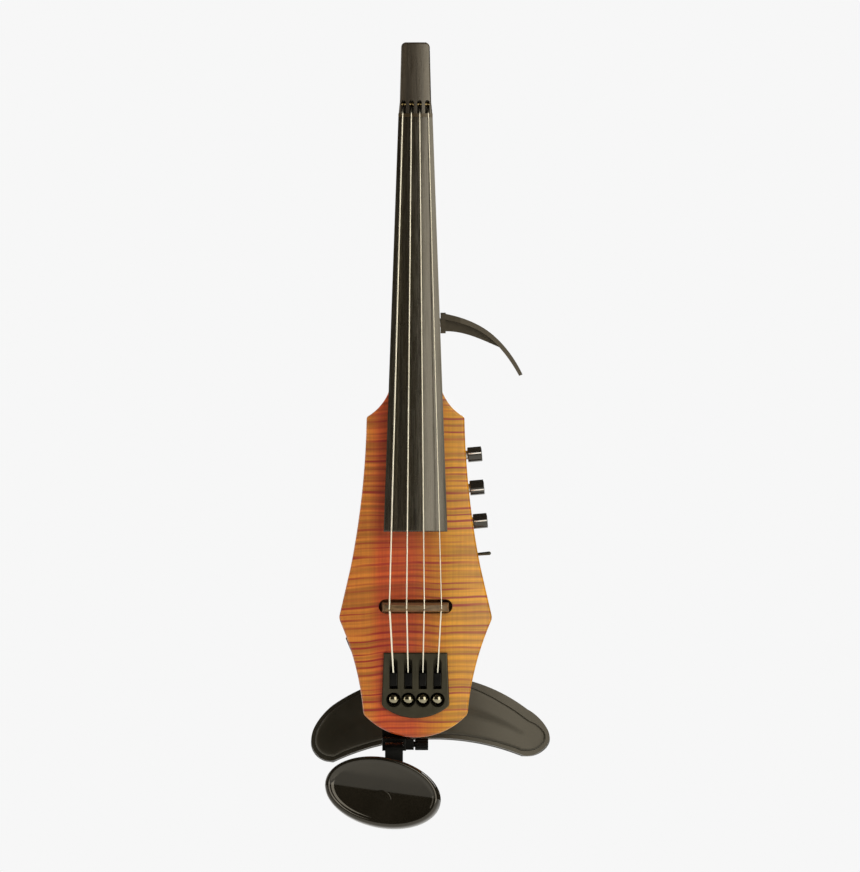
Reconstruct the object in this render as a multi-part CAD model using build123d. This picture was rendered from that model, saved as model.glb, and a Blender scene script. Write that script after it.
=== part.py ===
from build123d import *
import os
from math import cos, radians, sin, sqrt

# A headless four-string electric violin, in millimetres.
# It is modelled lying face up: X runs across to the treble side, Y along the strings
# toward the head, Z out of the face. Y = 0 is the bridge line and Z = 0 the crown of
# the face. save() stands every piece up, head at the top and face forward, with the
# origin at the neck cradle.

# ---- driving dimensions -------------------------------------------------------------
STRING_LENGTH = 328.0
CRADLE = (0.0, 262.0, -8.1)        # where a hanger's yoke holds the back of the neck

BODY_DEPTH = 34.0
TOP_PLATE_DEPTH = 9.0              # at the crown of the arched face
FACE_ARCH_RADIUS = 250.0
NECK_JOINT_Y = 146.7
TAIL_Y = -87.4
TAIL_RADIUS = 46.8

BOARD_END_Y = 50.6
BOARD_HALF_NUT, BOARD_HALF_END = 11.5, 21.35
BOARD_CROWN_NUT, BOARD_CROWN_END = 9.5, 17.4
BOARD_UNDER_NUT, BOARD_UNDER_END = 3.5, 6.8
STRING_ARC_RADIUS = 42.0           # shared by the fingerboard, the nut and the bridge
NUT_THICKNESS = 2.4
NUT_CROWN = 10.1
BRIDGE_CROWN = 24.0
HEAD_END_Y = 378.0

# name: (x at the nut, x at the head anchor, x at the bridge, x at the tuner, radius)
STRINGS = {
    "g": (-8.6, -7.95, -17.4, -14.7, 0.50),
    "d": (-2.8, -2.65, -5.9, -4.9, 0.47),
    "a": (2.8, 2.65, 5.9, 4.9, 0.42),
    "e": (8.6, 7.95, 17.4, 14.7, 0.35),
}
TUNER_TOP = 2.5
TUNER_AXIS_Z = -1.0
CARRIAGE_HEAD_Y, CARRIAGE_LENGTH = -44.0, 8.9
SLOT_HEAD_Y, SLOT_TAIL_Y, SLOT_WIDTH = -34.4, -54.9, 5.6
BALL_Y, BALL_RADIUS = -61.7, 4.25
WALL_TAIL_Y = -57.2                # the thrust wall is between the slots and the cups
CUP_RADIUS = 4.95                  # the cup that each ball turns in
STEM_RADIUS = 1.4
TUNER_SCREWS = [(-10.0, -69.6), (10.0, -69.6)]

KNOBS = {"volume": (101.8, 34.45), "bass": (79.5, 35.95), "treble": (57.0, 38.15)}
KNOB_RADIUS, KNOB_LENGTH, KNOB_GAP = 5.05, 9.6, 0.6
KNOB_TILT = 5.0                    # the side of the body leans, and the shafts with it
CONTROL_Z = -21.5
TOGGLE_Y, TOGGLE_SIDE_X = 35.1, 42.0

JACK_POINT = (-42.93, -27.37, -22.0)
JACK_ANGLE = 203.2                 # the outward direction, from +X toward +Y
JACK_BORE_RADIUS, JACK_BORE_DEPTH = 3.2, 18.0

BATTERY_POCKET = ((-31.0, 26.0, -40.0), (-3.0, 78.0, -13.0))
DOOR_HINGE_Y, DOOR_BARREL_RADIUS = 79.8, 1.2

CHIN_CENTRE, CHIN_TURN = (-21.8, -124.0), -11.0
CHIN_PIVOT = (-23.0, -129.0)
CHIN_STEM_X = (-20.4, -8.4)
CHIN_LINK_Z = (4.0, 7.0)
CHIN_STEM_Y = (-94.0, -91.0)

POST = (6.0, -76.0)
REST_TILT = -8.0
REST_PIN_Z = -64.0
REST_TOP_Z = -69.0
REST_ARCH_RADIUS = 260.0

ARM_Y = 190.5
FIT = 0.05                         # radial clearance of a turning or sliding fit


# ---- helpers ------------------------------------------------------------------------
def save(name, shape):
    """Stand the piece up, put the origin at the neck cradle, and write its file."""
    upright = Rot(90, 0, 0) * Pos(-CRADLE[0], -CRADLE[1], -CRADLE[2])
    export_step(upright * shape, f"parts/{name}.step")


def block(low, high):
    size = [b - a for a, b in zip(low, high)]
    return Pos(*[(a + b) / 2 for a, b in zip(low, high)]) * Box(*size)


def rod(radius, start, end):
    axis = Vector(*end) - Vector(*start)
    return extrude(Plane(origin=start, z_dir=axis) * Circle(radius), axis.length)


def tube(radius, points, bends):
    """A round bar along straight runs that are joined by tangent arcs."""
    path = FilletPolyline(*points, radius=bends)
    start = Plane(origin=path @ 0, z_dir=path % 0)
    return sweep(start * Circle(radius), path=path)


def sag(x, radius=STRING_ARC_RADIUS):
    return radius - sqrt(radius * radius - x * x)


def along_board(y, at_nut, at_end):
    share = (STRING_LENGTH - y) / (STRING_LENGTH - BOARD_END_Y)
    return at_nut + (at_end - at_nut) * share


def board_half(y):
    return along_board(y, BOARD_HALF_NUT, BOARD_HALF_END)


def board_under(y):
    return along_board(y, BOARD_UNDER_NUT, BOARD_UNDER_END)


def cross_plane(y):
    """The plane across the strings at y, with its own x across and its own y up."""
    return Plane(origin=(0, y, 0), x_dir=(1, 0, 0), z_dir=(0, -1, 0))


def side_plane(x):
    """The plane along the strings at x, with its own x toward the head and y up."""
    return Plane(origin=(x, 0, 0), x_dir=(0, 1, 0), z_dir=(1, 0, 0))


def control_plane(y, x):
    """A plane on the treble side of the body, facing out along a control's shaft."""
    lean = radians(KNOB_TILT)
    return Plane(origin=(x, y, CONTROL_Z), z_dir=(cos(lean), sin(lean), 0))


def control_rod(plane, radius, start, end):
    return plane * (Pos(0, 0, (start + end) / 2) * Cylinder(radius, end - start))


def jack_plane():
    out = radians(JACK_ANGLE)
    return Plane(origin=JACK_POINT, z_dir=(cos(out), sin(out), 0))


# ---- the body -----------------------------------------------------------------------
UPPER_CORNER, WAIST_END = (32.8, 127.3), (43.5, 26.9)
WIDEST, LOWER_CORNER = (51.5, -7.7), (34.9, -71.8)


def body_blank():
    """The whole body before it is split: a coffin outline under an arched face."""
    half = ThreePointArc((17.1, NECK_JOINT_Y), (22.9, 135.7), UPPER_CORNER)
    half += ThreePointArc(UPPER_CORNER, (35.8, 77.8), WAIST_END)
    half += Line(WAIST_END, WIDEST)
    half += ThreePointArc(WIDEST, (40.5, -39.0), LOWER_CORNER)
    turn = radians(22)
    tail_centre = TAIL_Y + TAIL_RADIUS
    middle = (TAIL_RADIUS * sin(turn), tail_centre - TAIL_RADIUS * cos(turn))
    half += ThreePointArc(LOWER_CORNER, middle, (0, TAIL_Y))
    outline = make_face(half + mirror(half, Plane.YZ) + Line((-17.1, NECK_JOINT_Y), (17.1, NECK_JOINT_Y)))
    for corner, radius in ((WIDEST, 7.0), (LOWER_CORNER, 4.0), (UPPER_CORNER, 2.5)):
        spots = [v for v in outline.vertices() if abs(v.Y - corner[1]) < 0.01]
        outline = fillet(spots, radius)
    blank = extrude(outline, -BODY_DEPTH)
    arch = Rot(90, 0, 0) * Cylinder(FACE_ARCH_RADIUS, 600)
    blank &= Pos(0, 0, -FACE_ARCH_RADIUS) * arch
    rim = [e for e in blank.edges() if e.center().Z > -8 and e.center().Y < 146]
    blank = fillet(rim, 1.8)
    rim = [e for e in blank.edges() if e.center().Z < -33.9 and e.center().Y < 146]
    return fillet(rim, 3.0)


def tuner_outline(grow=0.0):
    """The tuner block seen from the front."""
    top, wide, low = 21.25 + grow, 22.65 + grow, -66.0
    line = Polyline((-wide, low), (-top, -30.6 + grow), (top, -30.6 + grow), (wide, low))
    line += ThreePointArc((wide, low), (0, -74.4 - grow), (-wide, low))
    face = make_face(line)
    return fillet([v for v in face.vertices() if v.Y < -50], 3.0 + grow)


def pocket_outlines():
    """The bridge slot, seen from the front."""
    return Pos(0, 0.45) * SlotOverall(49.5, 9.5)


def cavity_outline(grow=0.0):
    """The control cavity in the back, beside the treble side of the body."""
    corners = ((6, 27), (37, 27), (27.5, 112), (6, 112))
    face = make_face(Polyline(*corners, close=True))
    face = fillet(face.vertices(), 4.0)
    return offset(face, grow) if grow else face


NECK_SCREWS = [(x, y) for x in (-9.0, 9.0) for y in (122.0, 138.0)]
COVER_SCREWS = [(21.5, 24.8), (4.0, 60.0), (22.5, 114.1), (9.5, 114.1)]
COVER_EDGE, COVER_DEPTH = 4.1, 2.5
TENON = ((-15.0, 98.0, -11.0), (15.0, 148.0, 12.0))


def body_halves():
    blank = body_blank()
    split = -TOP_PLATE_DEPTH
    everything = ((-90, -120, -60), (90, 160, 40))
    top = blank & block((-90, -120, split), everything[1])
    core = blank & block(everything[0], (90, 160, split))

    tenon_pocket = block((-15.05, 97.95, -11.0), (15.05, 160, 20))
    bridge_slot = extrude(pocket_outlines(), 60, both=True)
    tuner_pocket = extrude(tuner_outline(0.1), 30)
    top -= tenon_pocket + bridge_slot
    top -= Pos(0, 0, split) * tuner_pocket

    core -= tenon_pocket
    core -= Pos(0, 0, -20.0) * extrude(pocket_outlines(), 30)
    core -= Pos(0, 0, -60.0) * extrude(cavity_outline(), 47)
    recess = Pos(0, 0, -60.0) * extrude(cavity_outline(COVER_EDGE + 0.15), 60 - BODY_DEPTH + COVER_DEPTH)
    core -= recess
    core -= block(*BATTERY_POCKET)
    core -= block((-32.0, 24.3, -60), (-2.0, DOOR_HINGE_Y, -31.5))
    hinge_centre = -BODY_DEPTH + DOOR_BARREL_RADIUS
    core -= rod(1.55, (-32.0, DOOR_HINGE_Y, hinge_centre), (-2.0, DOOR_HINGE_Y, hinge_centre))
    core -= block((-32.0, DOOR_HINGE_Y, -60), (-2.0, DOOR_HINGE_Y + 1.55, hinge_centre))
    core -= rod(0.62, (-34.0, DOOR_HINGE_Y, hinge_centre), (0.0, DOOR_HINGE_Y, hinge_centre))

    for y, x in KNOBS.values():
        core -= control_rod(control_plane(y, x), 3.55, -16, 6)
    core -= control_rod(control_plane(TOGGLE_Y, TOGGLE_SIDE_X), 2.95, -16, 6)
    core -= jack_plane() * (Pos(0, 0, -11) * Cylinder(6.05, 26))
    core -= jack_plane() * (Pos(0, 0, 4) * Cylinder(7.6, 10))
    core -= rod(2.2, *JACK_LEAD_HOLE)
    core -= rod(2.2, (18, 0, -17.6), (18, 30, -17.6))
    core -= rod(2.2, (-6, 76.3, -22), (8, 76.3, -22))
    for x, y in NECK_SCREWS:
        core -= rod(2.02, (x, y, -40), (x, y, 0))
        core -= rod(4.1, (x, y, -40), (x, y, -31.5))
    for x, y in COVER_SCREWS:
        core -= rod(1.27, (x, y, -40), (x, y, -22.4))
    core -= rod(4.4, (*POST, -40), (*POST, -28.5))
    for x, y in BRACKET_SCREWS:
        core -= rod(1.52, (x, y, -40), (x, y, -21.9))
    for x, y in TUNER_SCREWS:
        core -= rod(1.32, (x, y, -40), (x, y, 0))
        core -= rod(2.5, (x, y, -40), (x, y, -31.5))
    return top, core


# ---- neck, fingerboard and head -----------------------------------------------------
def neck():
    """A round-backed neck, its heel, and the tenon that is let into the body."""
    def section(y, back):
        half, under = board_half(y) - 0.15, board_under(y)
        side = under - 3.0
        line = Polyline((half, side), (half, under), (-half, under), (-half, side))
        line += ThreePointArc((-half, side), (0, back), (half, side))
        return cross_plane(y) * make_face(line)

    shaft = loft([section(STRING_LENGTH + NUT_THICKNESS, -9.5), section(NECK_JOINT_Y + 0.05, -6.0)])
    heel = make_face(
        Polyline((185, 0), (185, -4), (180, -5.0))
        + ThreePointArc((180, -5.0), (158, -11.5), (149.5, -30.5))
        + Polyline((149.5, -30.5), (NECK_JOINT_Y + 0.05, -31.5), (NECK_JOINT_Y + 0.05, 0), (185, 0))
    )
    heel = extrude(side_plane(0) * heel, 16.6, both=True)
    backs = [e for e in heel.edges() if abs(e.center().X) > 16 and 150 < e.center().Y < 178 and e.center().Z < -6]
    heel = fillet(backs, 9.0)
    tenon = block(*TENON)
    above = Plane(origin=(0, STRING_LENGTH, BOARD_UNDER_NUT), x_dir=(1, 0, 0),
                  z_dir=(0, BOARD_UNDER_END - BOARD_UNDER_NUT, STRING_LENGTH - BOARD_END_Y))
    over = above * (Pos(0, -140, 20) * Box(80, 700, 40))
    whole = shaft + (heel - over) + (tenon - over)
    whole -= block((-3.1, 108, board_under(150) - 14.0), (3.1, 318, 20)) & under_board_slot()
    for x, y in NECK_SCREWS:
        whole -= rod(1.75, (x, y, -14), (x, y, 1.0))
    return whole - rod(3.02, (2.0, ARM_Y, 0.4), (30, ARM_Y, 0.4))


def under_board_slot():
    """The space of the truss rod, 9 mm deep under the fingerboard."""
    line = Polyline((108, board_under(108)), (318, board_under(318)),
                    (318, board_under(318) - 9.0), (108, board_under(108) - 9.0), close=True)
    return extrude(side_plane(0) * make_face(line), 10, both=True)


def truss_rod():
    line = Polyline((108.2, board_under(108) - 0.1), (317.8, board_under(318) - 0.1),
                    (317.8, board_under(318) - 8.9), (108.2, board_under(108) - 8.9), close=True)
    return extrude(side_plane(0) * make_face(line), 3.0, both=True)


def arched_section(y, half, under, crown):
    edge = crown - sag(half)
    line = Polyline((half, edge), (half, under), (-half, under), (-half, edge))
    line += ThreePointArc((-half, edge), (0, crown), (half, edge))
    return cross_plane(y) * make_face(line)


def fingerboard():
    near = arched_section(STRING_LENGTH, BOARD_HALF_NUT, BOARD_UNDER_NUT, BOARD_CROWN_NUT)
    far = arched_section(BOARD_END_Y, BOARD_HALF_END, BOARD_UNDER_END, BOARD_CROWN_END)
    board = loft([near, far], ruled=True)
    crest = [e for e in board.edges() if e.center().Y < BOARD_END_Y + 0.1 and e.center().Z > 15]
    return fillet(crest, 0.8)


def nut(grooves):
    y = STRING_LENGTH
    front = arched_section(y + 0.02, BOARD_HALF_NUT, BOARD_UNDER_NUT, NUT_CROWN)
    return extrude(front, -(NUT_THICKNESS - 0.04)) - grooves


HEAD_TOP_Z = 9.9
BALL_END_Y = 336.9


def head_block(grooves):
    """The blind end of the neck, with a slot for each string's ball end."""
    y = STRING_LENGTH + NUT_THICKNESS
    outline = make_face(Polyline((11.3, y), (10.5, y + 8), (9.5, HEAD_END_Y), (-9.5, HEAD_END_Y),
                                 (-10.5, y + 8), (-11.3, y), close=True))
    outline = fillet([v for v in outline.vertices() if v.Y > 370], 3.2)
    whole = Pos(0, 0, -9.5) * extrude(outline, 9.5 + HEAD_TOP_Z)
    whole &= extrude(arched_section(y, 12.0, -10.0, HEAD_TOP_Z), -(HEAD_END_Y + 1 - y))
    rim = [e for e in whole.edges() if e.center().Y > y + 0.5 and (e.center().Z > 7.6 or e.center().Z < -9.4)]
    whole = fillet(rim, 1.4)
    for _, x, _, _, _ in STRINGS.values():
        slot = Pos(x, BALL_END_Y - 3.0) * Rot(0, 0, 90) * SlotOverall(10.8, 3.1)
        whole -= extrude(slot, 20)
    return whole


def string_ball_ends():
    ends = []
    for _, x, _, _, _ in STRINGS.values():
        ends.append(rod(1.45, (x - 1.35, BALL_END_Y, 1.5), (x + 1.35, BALL_END_Y, 1.5)))
    return Compound(children=ends)


# ---- strings, bridge and tuners -----------------------------------------------------
BRIDGE_BREAK_Y = -2.5


def string_points(name):
    nut_x, head_x, bridge_x, tuner_x, radius = STRINGS[name]
    over_nut = (nut_x, STRING_LENGTH + NUT_THICKNESS + 0.6, NUT_CROWN - sag(nut_x))
    over_bridge = (bridge_x, 0, BRIDGE_CROWN - sag(bridge_x))
    in_head = (head_x, BALL_END_Y - 0.35, 1.5 + 1.45 + 0.02)
    at_carriage = (tuner_x, CARRIAGE_HEAD_Y, 2.2)
    return in_head, over_nut, over_bridge, at_carriage


def string_break(name):
    """The point just past the bridge where the afterlength starts."""
    _, _, bridge, carriage = string_points(name)
    share = BRIDGE_BREAK_Y / CARRIAGE_HEAD_Y
    return tuple(a + (b - a) * share for a, b in zip(bridge, carriage))


def string(name, extra=0.0):
    head, over_nut, bridge, _ = string_points(name)
    return tube(STRINGS[name][4] + extra, [head, over_nut, bridge, string_break(name)], [2.2, 3.0])


def afterlength(name, extra=0.0):
    carriage = Vector(*string_points(name)[3])
    start = Vector(*string_break(name))
    end = carriage + (carriage - start).normalized() * 2.4
    return rod(STRINGS[name][4] + extra, tuple(start), tuple(end))


def bridge(grooves):
    """A solid maple bar that stands in the face slot and thins toward the strings."""
    half, top_half, foot = 22.4, 21.3, -15.0
    edge = BRIDGE_CROWN - sag(top_half)
    line = Polyline((top_half, edge), (half, 4), (half, foot), (-half, foot), (-half, 4), (-top_half, edge))
    line += ThreePointArc((-top_half, edge), (0, BRIDGE_CROWN), (top_half, edge))
    front = extrude(cross_plane(0) * make_face(line), 10, both=True)
    profile = Polyline((-3.4, foot), (-3.4, 5), (-1.8, BRIDGE_CROWN + 1), (1.4, BRIDGE_CROWN + 1), (3.0, 5),
                       (3.0, foot), close=True)
    bar = front & extrude(side_plane(0) * make_face(profile), 30, both=True)
    uprights = [e for e in bar.edges() if abs(e.center().X) > 21 and e.length > 10]
    return fillet(uprights, 0.7) - grooves


def bridge_pickup():
    return block((-21.5, -3.2, -19.9), (21.5, 2.8, -15.0))


def tuner_block():
    """The metal block in the face: four carriage slots, a thrust wall and four cups."""
    body = Pos(0, 0, -TOP_PLATE_DEPTH) * extrude(tuner_outline(), TOP_PLATE_DEPTH + TUNER_TOP)
    rim = [e for e in body.edges() if e.center().Z > TUNER_TOP - 0.1]
    body = fillet(rim, 0.8)
    slot_length = SLOT_HEAD_Y - SLOT_TAIL_Y
    for *_, x, _ in STRINGS.values():
        middle = (SLOT_HEAD_Y + SLOT_TAIL_Y) / 2
        slot = Pos(x, middle - SLOT_WIDTH / 4) * Rectangle(SLOT_WIDTH, slot_length - SLOT_WIDTH / 2)
        slot += Pos(x, SLOT_HEAD_Y - SLOT_WIDTH / 2) * Circle(SLOT_WIDTH / 2)
        body -= Pos(0, 0, -6.5) * extrude(slot, 20)
        body -= rod(STEM_RADIUS + FIT, (x, SLOT_TAIL_Y + 1, TUNER_AXIS_Z), (x, WALL_TAIL_Y - 1, TUNER_AXIS_Z))
        body -= rod(CUP_RADIUS, (x, WALL_TAIL_Y - CUP_RADIUS, -5.7), (x, WALL_TAIL_Y - CUP_RADIUS, 20))
    for x, y in TUNER_SCREWS:
        body -= rod(1.32, (x, y, -20), (x, y, -1.5))
    return body


def tuner_block_screws():
    """Two long screws from the back of the body, hidden under the tail bracket."""
    screws = []
    for x, y in TUNER_SCREWS:
        shank = rod(1.25, (x, y, -31.6), (x, y, -2.5))
        head = rod(2.4, (x, y, -33.9), (x, y, -31.5))
        socket = extrude(Plane(origin=(x, y, -34.5)) * RegularPolygon(1.1, 6), 1.8)
        screws.append(shank + head - socket)
    return screws


def tuner_carriage(name):
    """The black slider that grips a string's plain end and rides on the knob's thread."""
    x = STRINGS[name][3]
    tail = CARRIAGE_HEAD_Y - CARRIAGE_LENGTH
    slider = block((x - 2.45, tail, -5.9), (x + 2.45, CARRIAGE_HEAD_Y, 3.4))
    edges = [e for e in slider.edges() if e.center().Z > 3.3]
    slider = fillet(edges, 0.6)
    slider -= rod(STEM_RADIUS + FIT, (x, tail - 1, TUNER_AXIS_Z), (x, CARRIAGE_HEAD_Y + 1, TUNER_AXIS_Z))
    return slider - afterlength(name, 0.08)


def tuner_knob(name):
    """A chrome ball on a threaded stem; turning it draws the carriage along its slot."""
    x = STRINGS[name][3]
    neck_end = WALL_TAIL_Y - 0.75
    knob = Pos(x, BALL_Y, TUNER_AXIS_Z) * Sphere(BALL_RADIUS)
    knob += rod(2.3, (x, BALL_Y, TUNER_AXIS_Z), (x, neck_end, TUNER_AXIS_Z))
    knob += rod(STEM_RADIUS, (x, BALL_Y, TUNER_AXIS_Z), (x, -39.0, TUNER_AXIS_Z))
    return knob + rod(0.9, (x, BALL_Y, TUNER_AXIS_Z), (x, BALL_Y - BALL_RADIUS - 0.3, TUNER_AXIS_Z))


# ---- controls, electronics and battery ----------------------------------------------
def potentiometers():
    pots = []
    for y, x in KNOBS.values():
        plane = control_plane(y, x)
        pot = control_rod(plane, 7.9, -16.5, -7.0) + control_rod(plane, 3.5, -7.5, -0.4)
        pots.append(pot - control_rod(plane, 3.0 + FIT, -13, 2))
    return Compound(children=pots)


def control_shaft(name):
    y, x = KNOBS[name]
    return control_rod(control_plane(y, x), 3.0, -12.9, KNOB_GAP + 6.5)


def control_knob(name):
    y, x = KNOBS[name]
    plane = control_plane(y, x)
    knob = control_rod(plane, KNOB_RADIUS, KNOB_GAP, KNOB_GAP + KNOB_LENGTH)
    ends = [e for e in knob.edges() if e.geom_type == GeomType.CIRCLE]
    knob = fillet(ends, 0.5)
    return knob - control_rod(plane, 3.02, -1, KNOB_GAP + 6.6)


def toggle_switch():
    plane = control_plane(TOGGLE_Y, TOGGLE_SIDE_X)
    case = plane * (Pos(0, 0, -11.5) * Box(7.6, 12.6, 9.0))
    case += control_rod(plane, 2.9, -7.5, -0.3)
    return case - control_rod(plane, 2.35, -9, 1)


def toggle_lever():
    plane = control_plane(TOGGLE_Y, TOGGLE_SIDE_X)
    x, y, z = tuple(plane.from_local_coords((0, 0, -5.5)))
    lever = plane * (Pos(0, 0, -5.5) * Sphere(1.6)) + rod(0.7, (x, y, z - 2.0), (x, y, z + 2.0))
    bat = Plane(origin=plane.from_local_coords((0, 0, -5.5)), z_dir=plane.z_dir)
    lever += bat * (Pos(0, 0, 6.5) * Cone(0.85, 1.25, 13))
    return lever + bat * (Pos(0, 0, 13) * Sphere(1.25))


def preamp_board():
    board = block((8, 32, -29.5), (19, 90, -27.9))
    chips = [((10, 40), (4, 5, 1.2)), ((12, 52), (5, 9, 1.6)), ((15, 66), (3, 6, 2.2)), ((12, 78), (5, 5, 2.6))]
    for (x, y), (wide, long, high) in chips:
        board += block((x, y, -28.0), (x + wide, y + long, -27.9 + high))
    return board


def battery():
    low, high = (-30.2, 27.0, -31.2), (-3.8, 73.0, -13.6)
    cell = block(low, high)
    return fillet([e for e in cell.edges() if e.length > 40], 1.5)


def battery_clip():
    clip = block((-28.0, 73.05, -29.0), (-6.0, 75.4, -16.0))
    return fillet([e for e in clip.edges() if e.length < 3], 0.8)


def battery_door():
    """A flush lid over the battery that swings out on a pin at its head end."""
    middle = -BODY_DEPTH + DOOR_BARREL_RADIUS
    lid = block((-31.8, 24.5, -BODY_DEPTH), (-2.2, DOOR_HINGE_Y, -BODY_DEPTH + 2 * DOOR_BARREL_RADIUS))
    lid += rod(DOOR_BARREL_RADIUS, (-31.8, DOOR_HINGE_Y, middle), (-2.2, DOOR_HINGE_Y, middle))
    lid -= rod(0.6 + FIT, (-40, DOOR_HINGE_Y, middle), (10, DOOR_HINGE_Y, middle))
    notch = Pos(-17, 24.5, -BODY_DEPTH) * Cylinder(4.5, 2.0)
    return lid - notch


def door_hinge_pin():
    middle = -BODY_DEPTH + DOOR_BARREL_RADIUS
    return rod(0.6, (-33.8, DOOR_HINGE_Y, middle), (-0.2, DOOR_HINGE_Y, middle))


def rear_cover():
    plate = Pos(0, 0, -BODY_DEPTH) * extrude(cavity_outline(COVER_EDGE), COVER_DEPTH - 0.02)
    for x, y in COVER_SCREWS:
        plate -= rod(1.4, (x, y, -40), (x, y, -20))
        plate -= Pos(x, y, -BODY_DEPTH + 0.6) * Cone(2.0, 1.4, 1.21)
    return plate


def countersunk_screw(x, y, face, shank, length, head):
    top = face + 1.2
    screw = Pos(x, y, face + 0.6) * Cone(head, shank, 1.2)
    screw += rod(shank, (x, y, top - 0.01), (x, y, face + length))
    return screw - block((x - head * 0.7, y - 0.3, face - 1), (x + head * 0.7, y + 0.3, face + 0.5))


def rear_cover_screws():
    return [countersunk_screw(x, y, -BODY_DEPTH, 1.25, 11, 1.85) for x, y in COVER_SCREWS]


def neck_screws():
    screws = []
    for x, y in NECK_SCREWS:
        screw = rod(4.0, (x, y, -33.8), (x, y, -31.5)) + rod(1.98, (x, y, -31.6), (x, y, -11.2))
        screw += rod(1.7, (x, y, -11.3), (x, y, 0.5))
        screws.append(screw - block((x - 2.6, y - 0.5, -40), (x + 2.6, y + 0.5, -32.8)))
    return screws


def output_jack():
    """The socket barrel of a 6.35 mm plug, let into the lower bass side of the body."""
    barrel = Pos(0, 0, -11.2) * Cylinder(6.0, 22.0)
    bore = Pos(0, 0, -JACK_BORE_DEPTH / 2 + 1) * Cylinder(JACK_BORE_RADIUS, JACK_BORE_DEPTH + 2)
    return jack_plane() * (barrel - bore)


def jack_ring():
    ring = Cylinder(7.5, 1.6) - Cylinder(JACK_BORE_RADIUS + 0.3, 4)
    ring = fillet([e for e in ring.edges() if e.center().Z > 0.7 and e.radius > 7], 0.5)
    return jack_plane() * (Pos(0, 0, 0.6) * ring)


JACK_LEAD_HOLE = ((-23.4, -20.6, -21.8), (14.0, 30.0, -26.0))
LEAD_RADIUS = 0.9


def internal_leads():
    """The pickup lead, the jack lead and the battery lead, each to the preamp board."""
    start, end = (Vector(*p) for p in JACK_LEAD_HOLE)
    run = (end - start).normalized()
    jack = [tuple(start + run * 3.0), tuple(end - run * 3.0), (13.5, 38.5, -24.9)]
    pickup = [(18.0, 3.4, -17.6), (18.0, 27.0, -17.6), (15.6, 44.0, -21.5)]
    battery_wire = [(-16.0, 76.4, -22.0), (7.0, 76.4, -22.0), (11.0, 62.0, -24.0)]
    return Compound(children=[
        tube(LEAD_RADIUS, jack, [6.0]),
        tube(LEAD_RADIUS, pickup, [8.0]),
        tube(LEAD_RADIUS, battery_wire, [3.5]),
    ])


# ---- chin rest, shoulder rest and arm -----------------------------------------------
BRACKET_SCREWS = [(-16.0, -58.0), (16.0, -58.0), (22.0, -70.0)]
BRACKET_BACK = -BODY_DEPTH - 3.0
CLAMP_TOP = -13.0
CHIN_SCREW_Y, CHIN_SCREW_Z = -92.5, -18.0


def tail_bracket():
    """A plate screwed to the back that holds the chin clamp and the post's collar."""
    plate = make_face(Polyline((-21, -52), (21, -52), (27, -70), (16, -82), (-2, -86), (-6.4, -96.8),
                               (-22.4, -96.8), (-22.4, -82), close=True))
    plate = fillet([v for v in plate.vertices() if v.Y > -84], 3.0)
    bracket = Pos(0, 0, BRACKET_BACK) * extrude(plate, 2.98)
    clamp = block((-22.4, -96.8, BRACKET_BACK), (-6.4, -87.9, CLAMP_TOP))
    clamp = fillet([e for e in clamp.edges() if e.center().Z > CLAMP_TOP - 0.1], 0.8)
    clamp += block((-7, -96.2, -22.5), (-1.2, -88.8, CLAMP_TOP - 1.0))
    bracket += clamp
    low_x, high_x = CHIN_STEM_X
    low_y, high_y = CHIN_STEM_Y
    bracket -= block((low_x - 0.1, low_y - 0.1, -60), (high_x + 0.1, high_y + 0.1, 0))
    bracket -= rod(2.0 + FIT, (-12, CHIN_SCREW_Y, CHIN_SCREW_Z), (20, CHIN_SCREW_Y, CHIN_SCREW_Z))
    x, y = POST
    collar = rod(8.0, (x, y, -48), (x, y, BRACKET_BACK + 0.5)) + block((x, y - 5, -46), (x + 12, y + 5, BRACKET_BACK + 0.5))
    bracket += collar
    bracket -= rod(4.0 + FIT, (x, y, -60), (x, y, -34))
    bracket -= rod(2.0 + FIT, (x, y, -42), (40, y, -42))
    for sx, sy in BRACKET_SCREWS:
        bracket -= rod(1.6, (sx, sy, -60), (sx, sy, -20))
        bracket -= Pos(sx, sy, BRACKET_BACK + 0.6) * Cone(3.1, 1.6, 1.21)
    return bracket


def bracket_screws():
    return [countersunk_screw(x, y, BRACKET_BACK, 1.5, 14.8, 2.95) for x, y in BRACKET_SCREWS]


def thumbscrew(base, tip, head_start, head_end, head_radius):
    """A knurled screw along +X from tip to head, at the height and place of base."""
    y, z = base
    screw = rod(2.0, (tip, y, z), (head_start + 1, y, z))
    grip = rod(head_radius, (head_start, y, z), (head_end, y, z))
    grip = fillet([e for e in grip.edges() if e.geom_type == GeomType.CIRCLE], 0.6)
    for step in range(12):
        turn = radians(30 * step)
        cy, cz = y + (head_radius + 0.45) * cos(turn), z + (head_radius + 0.45) * sin(turn)
        grip -= rod(0.9, (head_start - 1, cy, cz), (head_end + 1, cy, cz))
    return screw + grip


def chin_stem():
    """A flat steel bar, bent at the top into the link that carries the chin plate."""
    low_x, high_x = CHIN_STEM_X
    back, front = CHIN_STEM_Y
    under, top = CHIN_LINK_Z
    profile = make_face(Polyline((front, -46), (front, top), (-108, top), (-108, under), (back, under),
                                 (back, -46), close=True))
    profile = fillet([v for v in profile.vertices() if abs(v.X - back) < 0.1 and v.Y > 0], 2.0)
    profile = fillet([v for v in profile.vertices() if abs(v.X - front) < 0.1 and v.Y > 0], 5.0)
    bar = extrude(side_plane((low_x + high_x) / 2) * profile, (high_x - low_x) / 2, both=True)
    middle = (low_x + high_x) / 2
    link = make_hull((Pos(middle, -102) * Circle(6.0) + Pos(*CHIN_PIVOT) * Circle(8.0)).edges())
    bar += Pos(0, 0, under) * extrude(link, top - under)
    return bar - rod(3.0 + FIT, (*CHIN_PIVOT, -10), (*CHIN_PIVOT, 20))


CHIN_BASE_Z, CHIN_RIM_Z, CHIN_DISH_Z = 7.3, 15.5, 11.6


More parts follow.
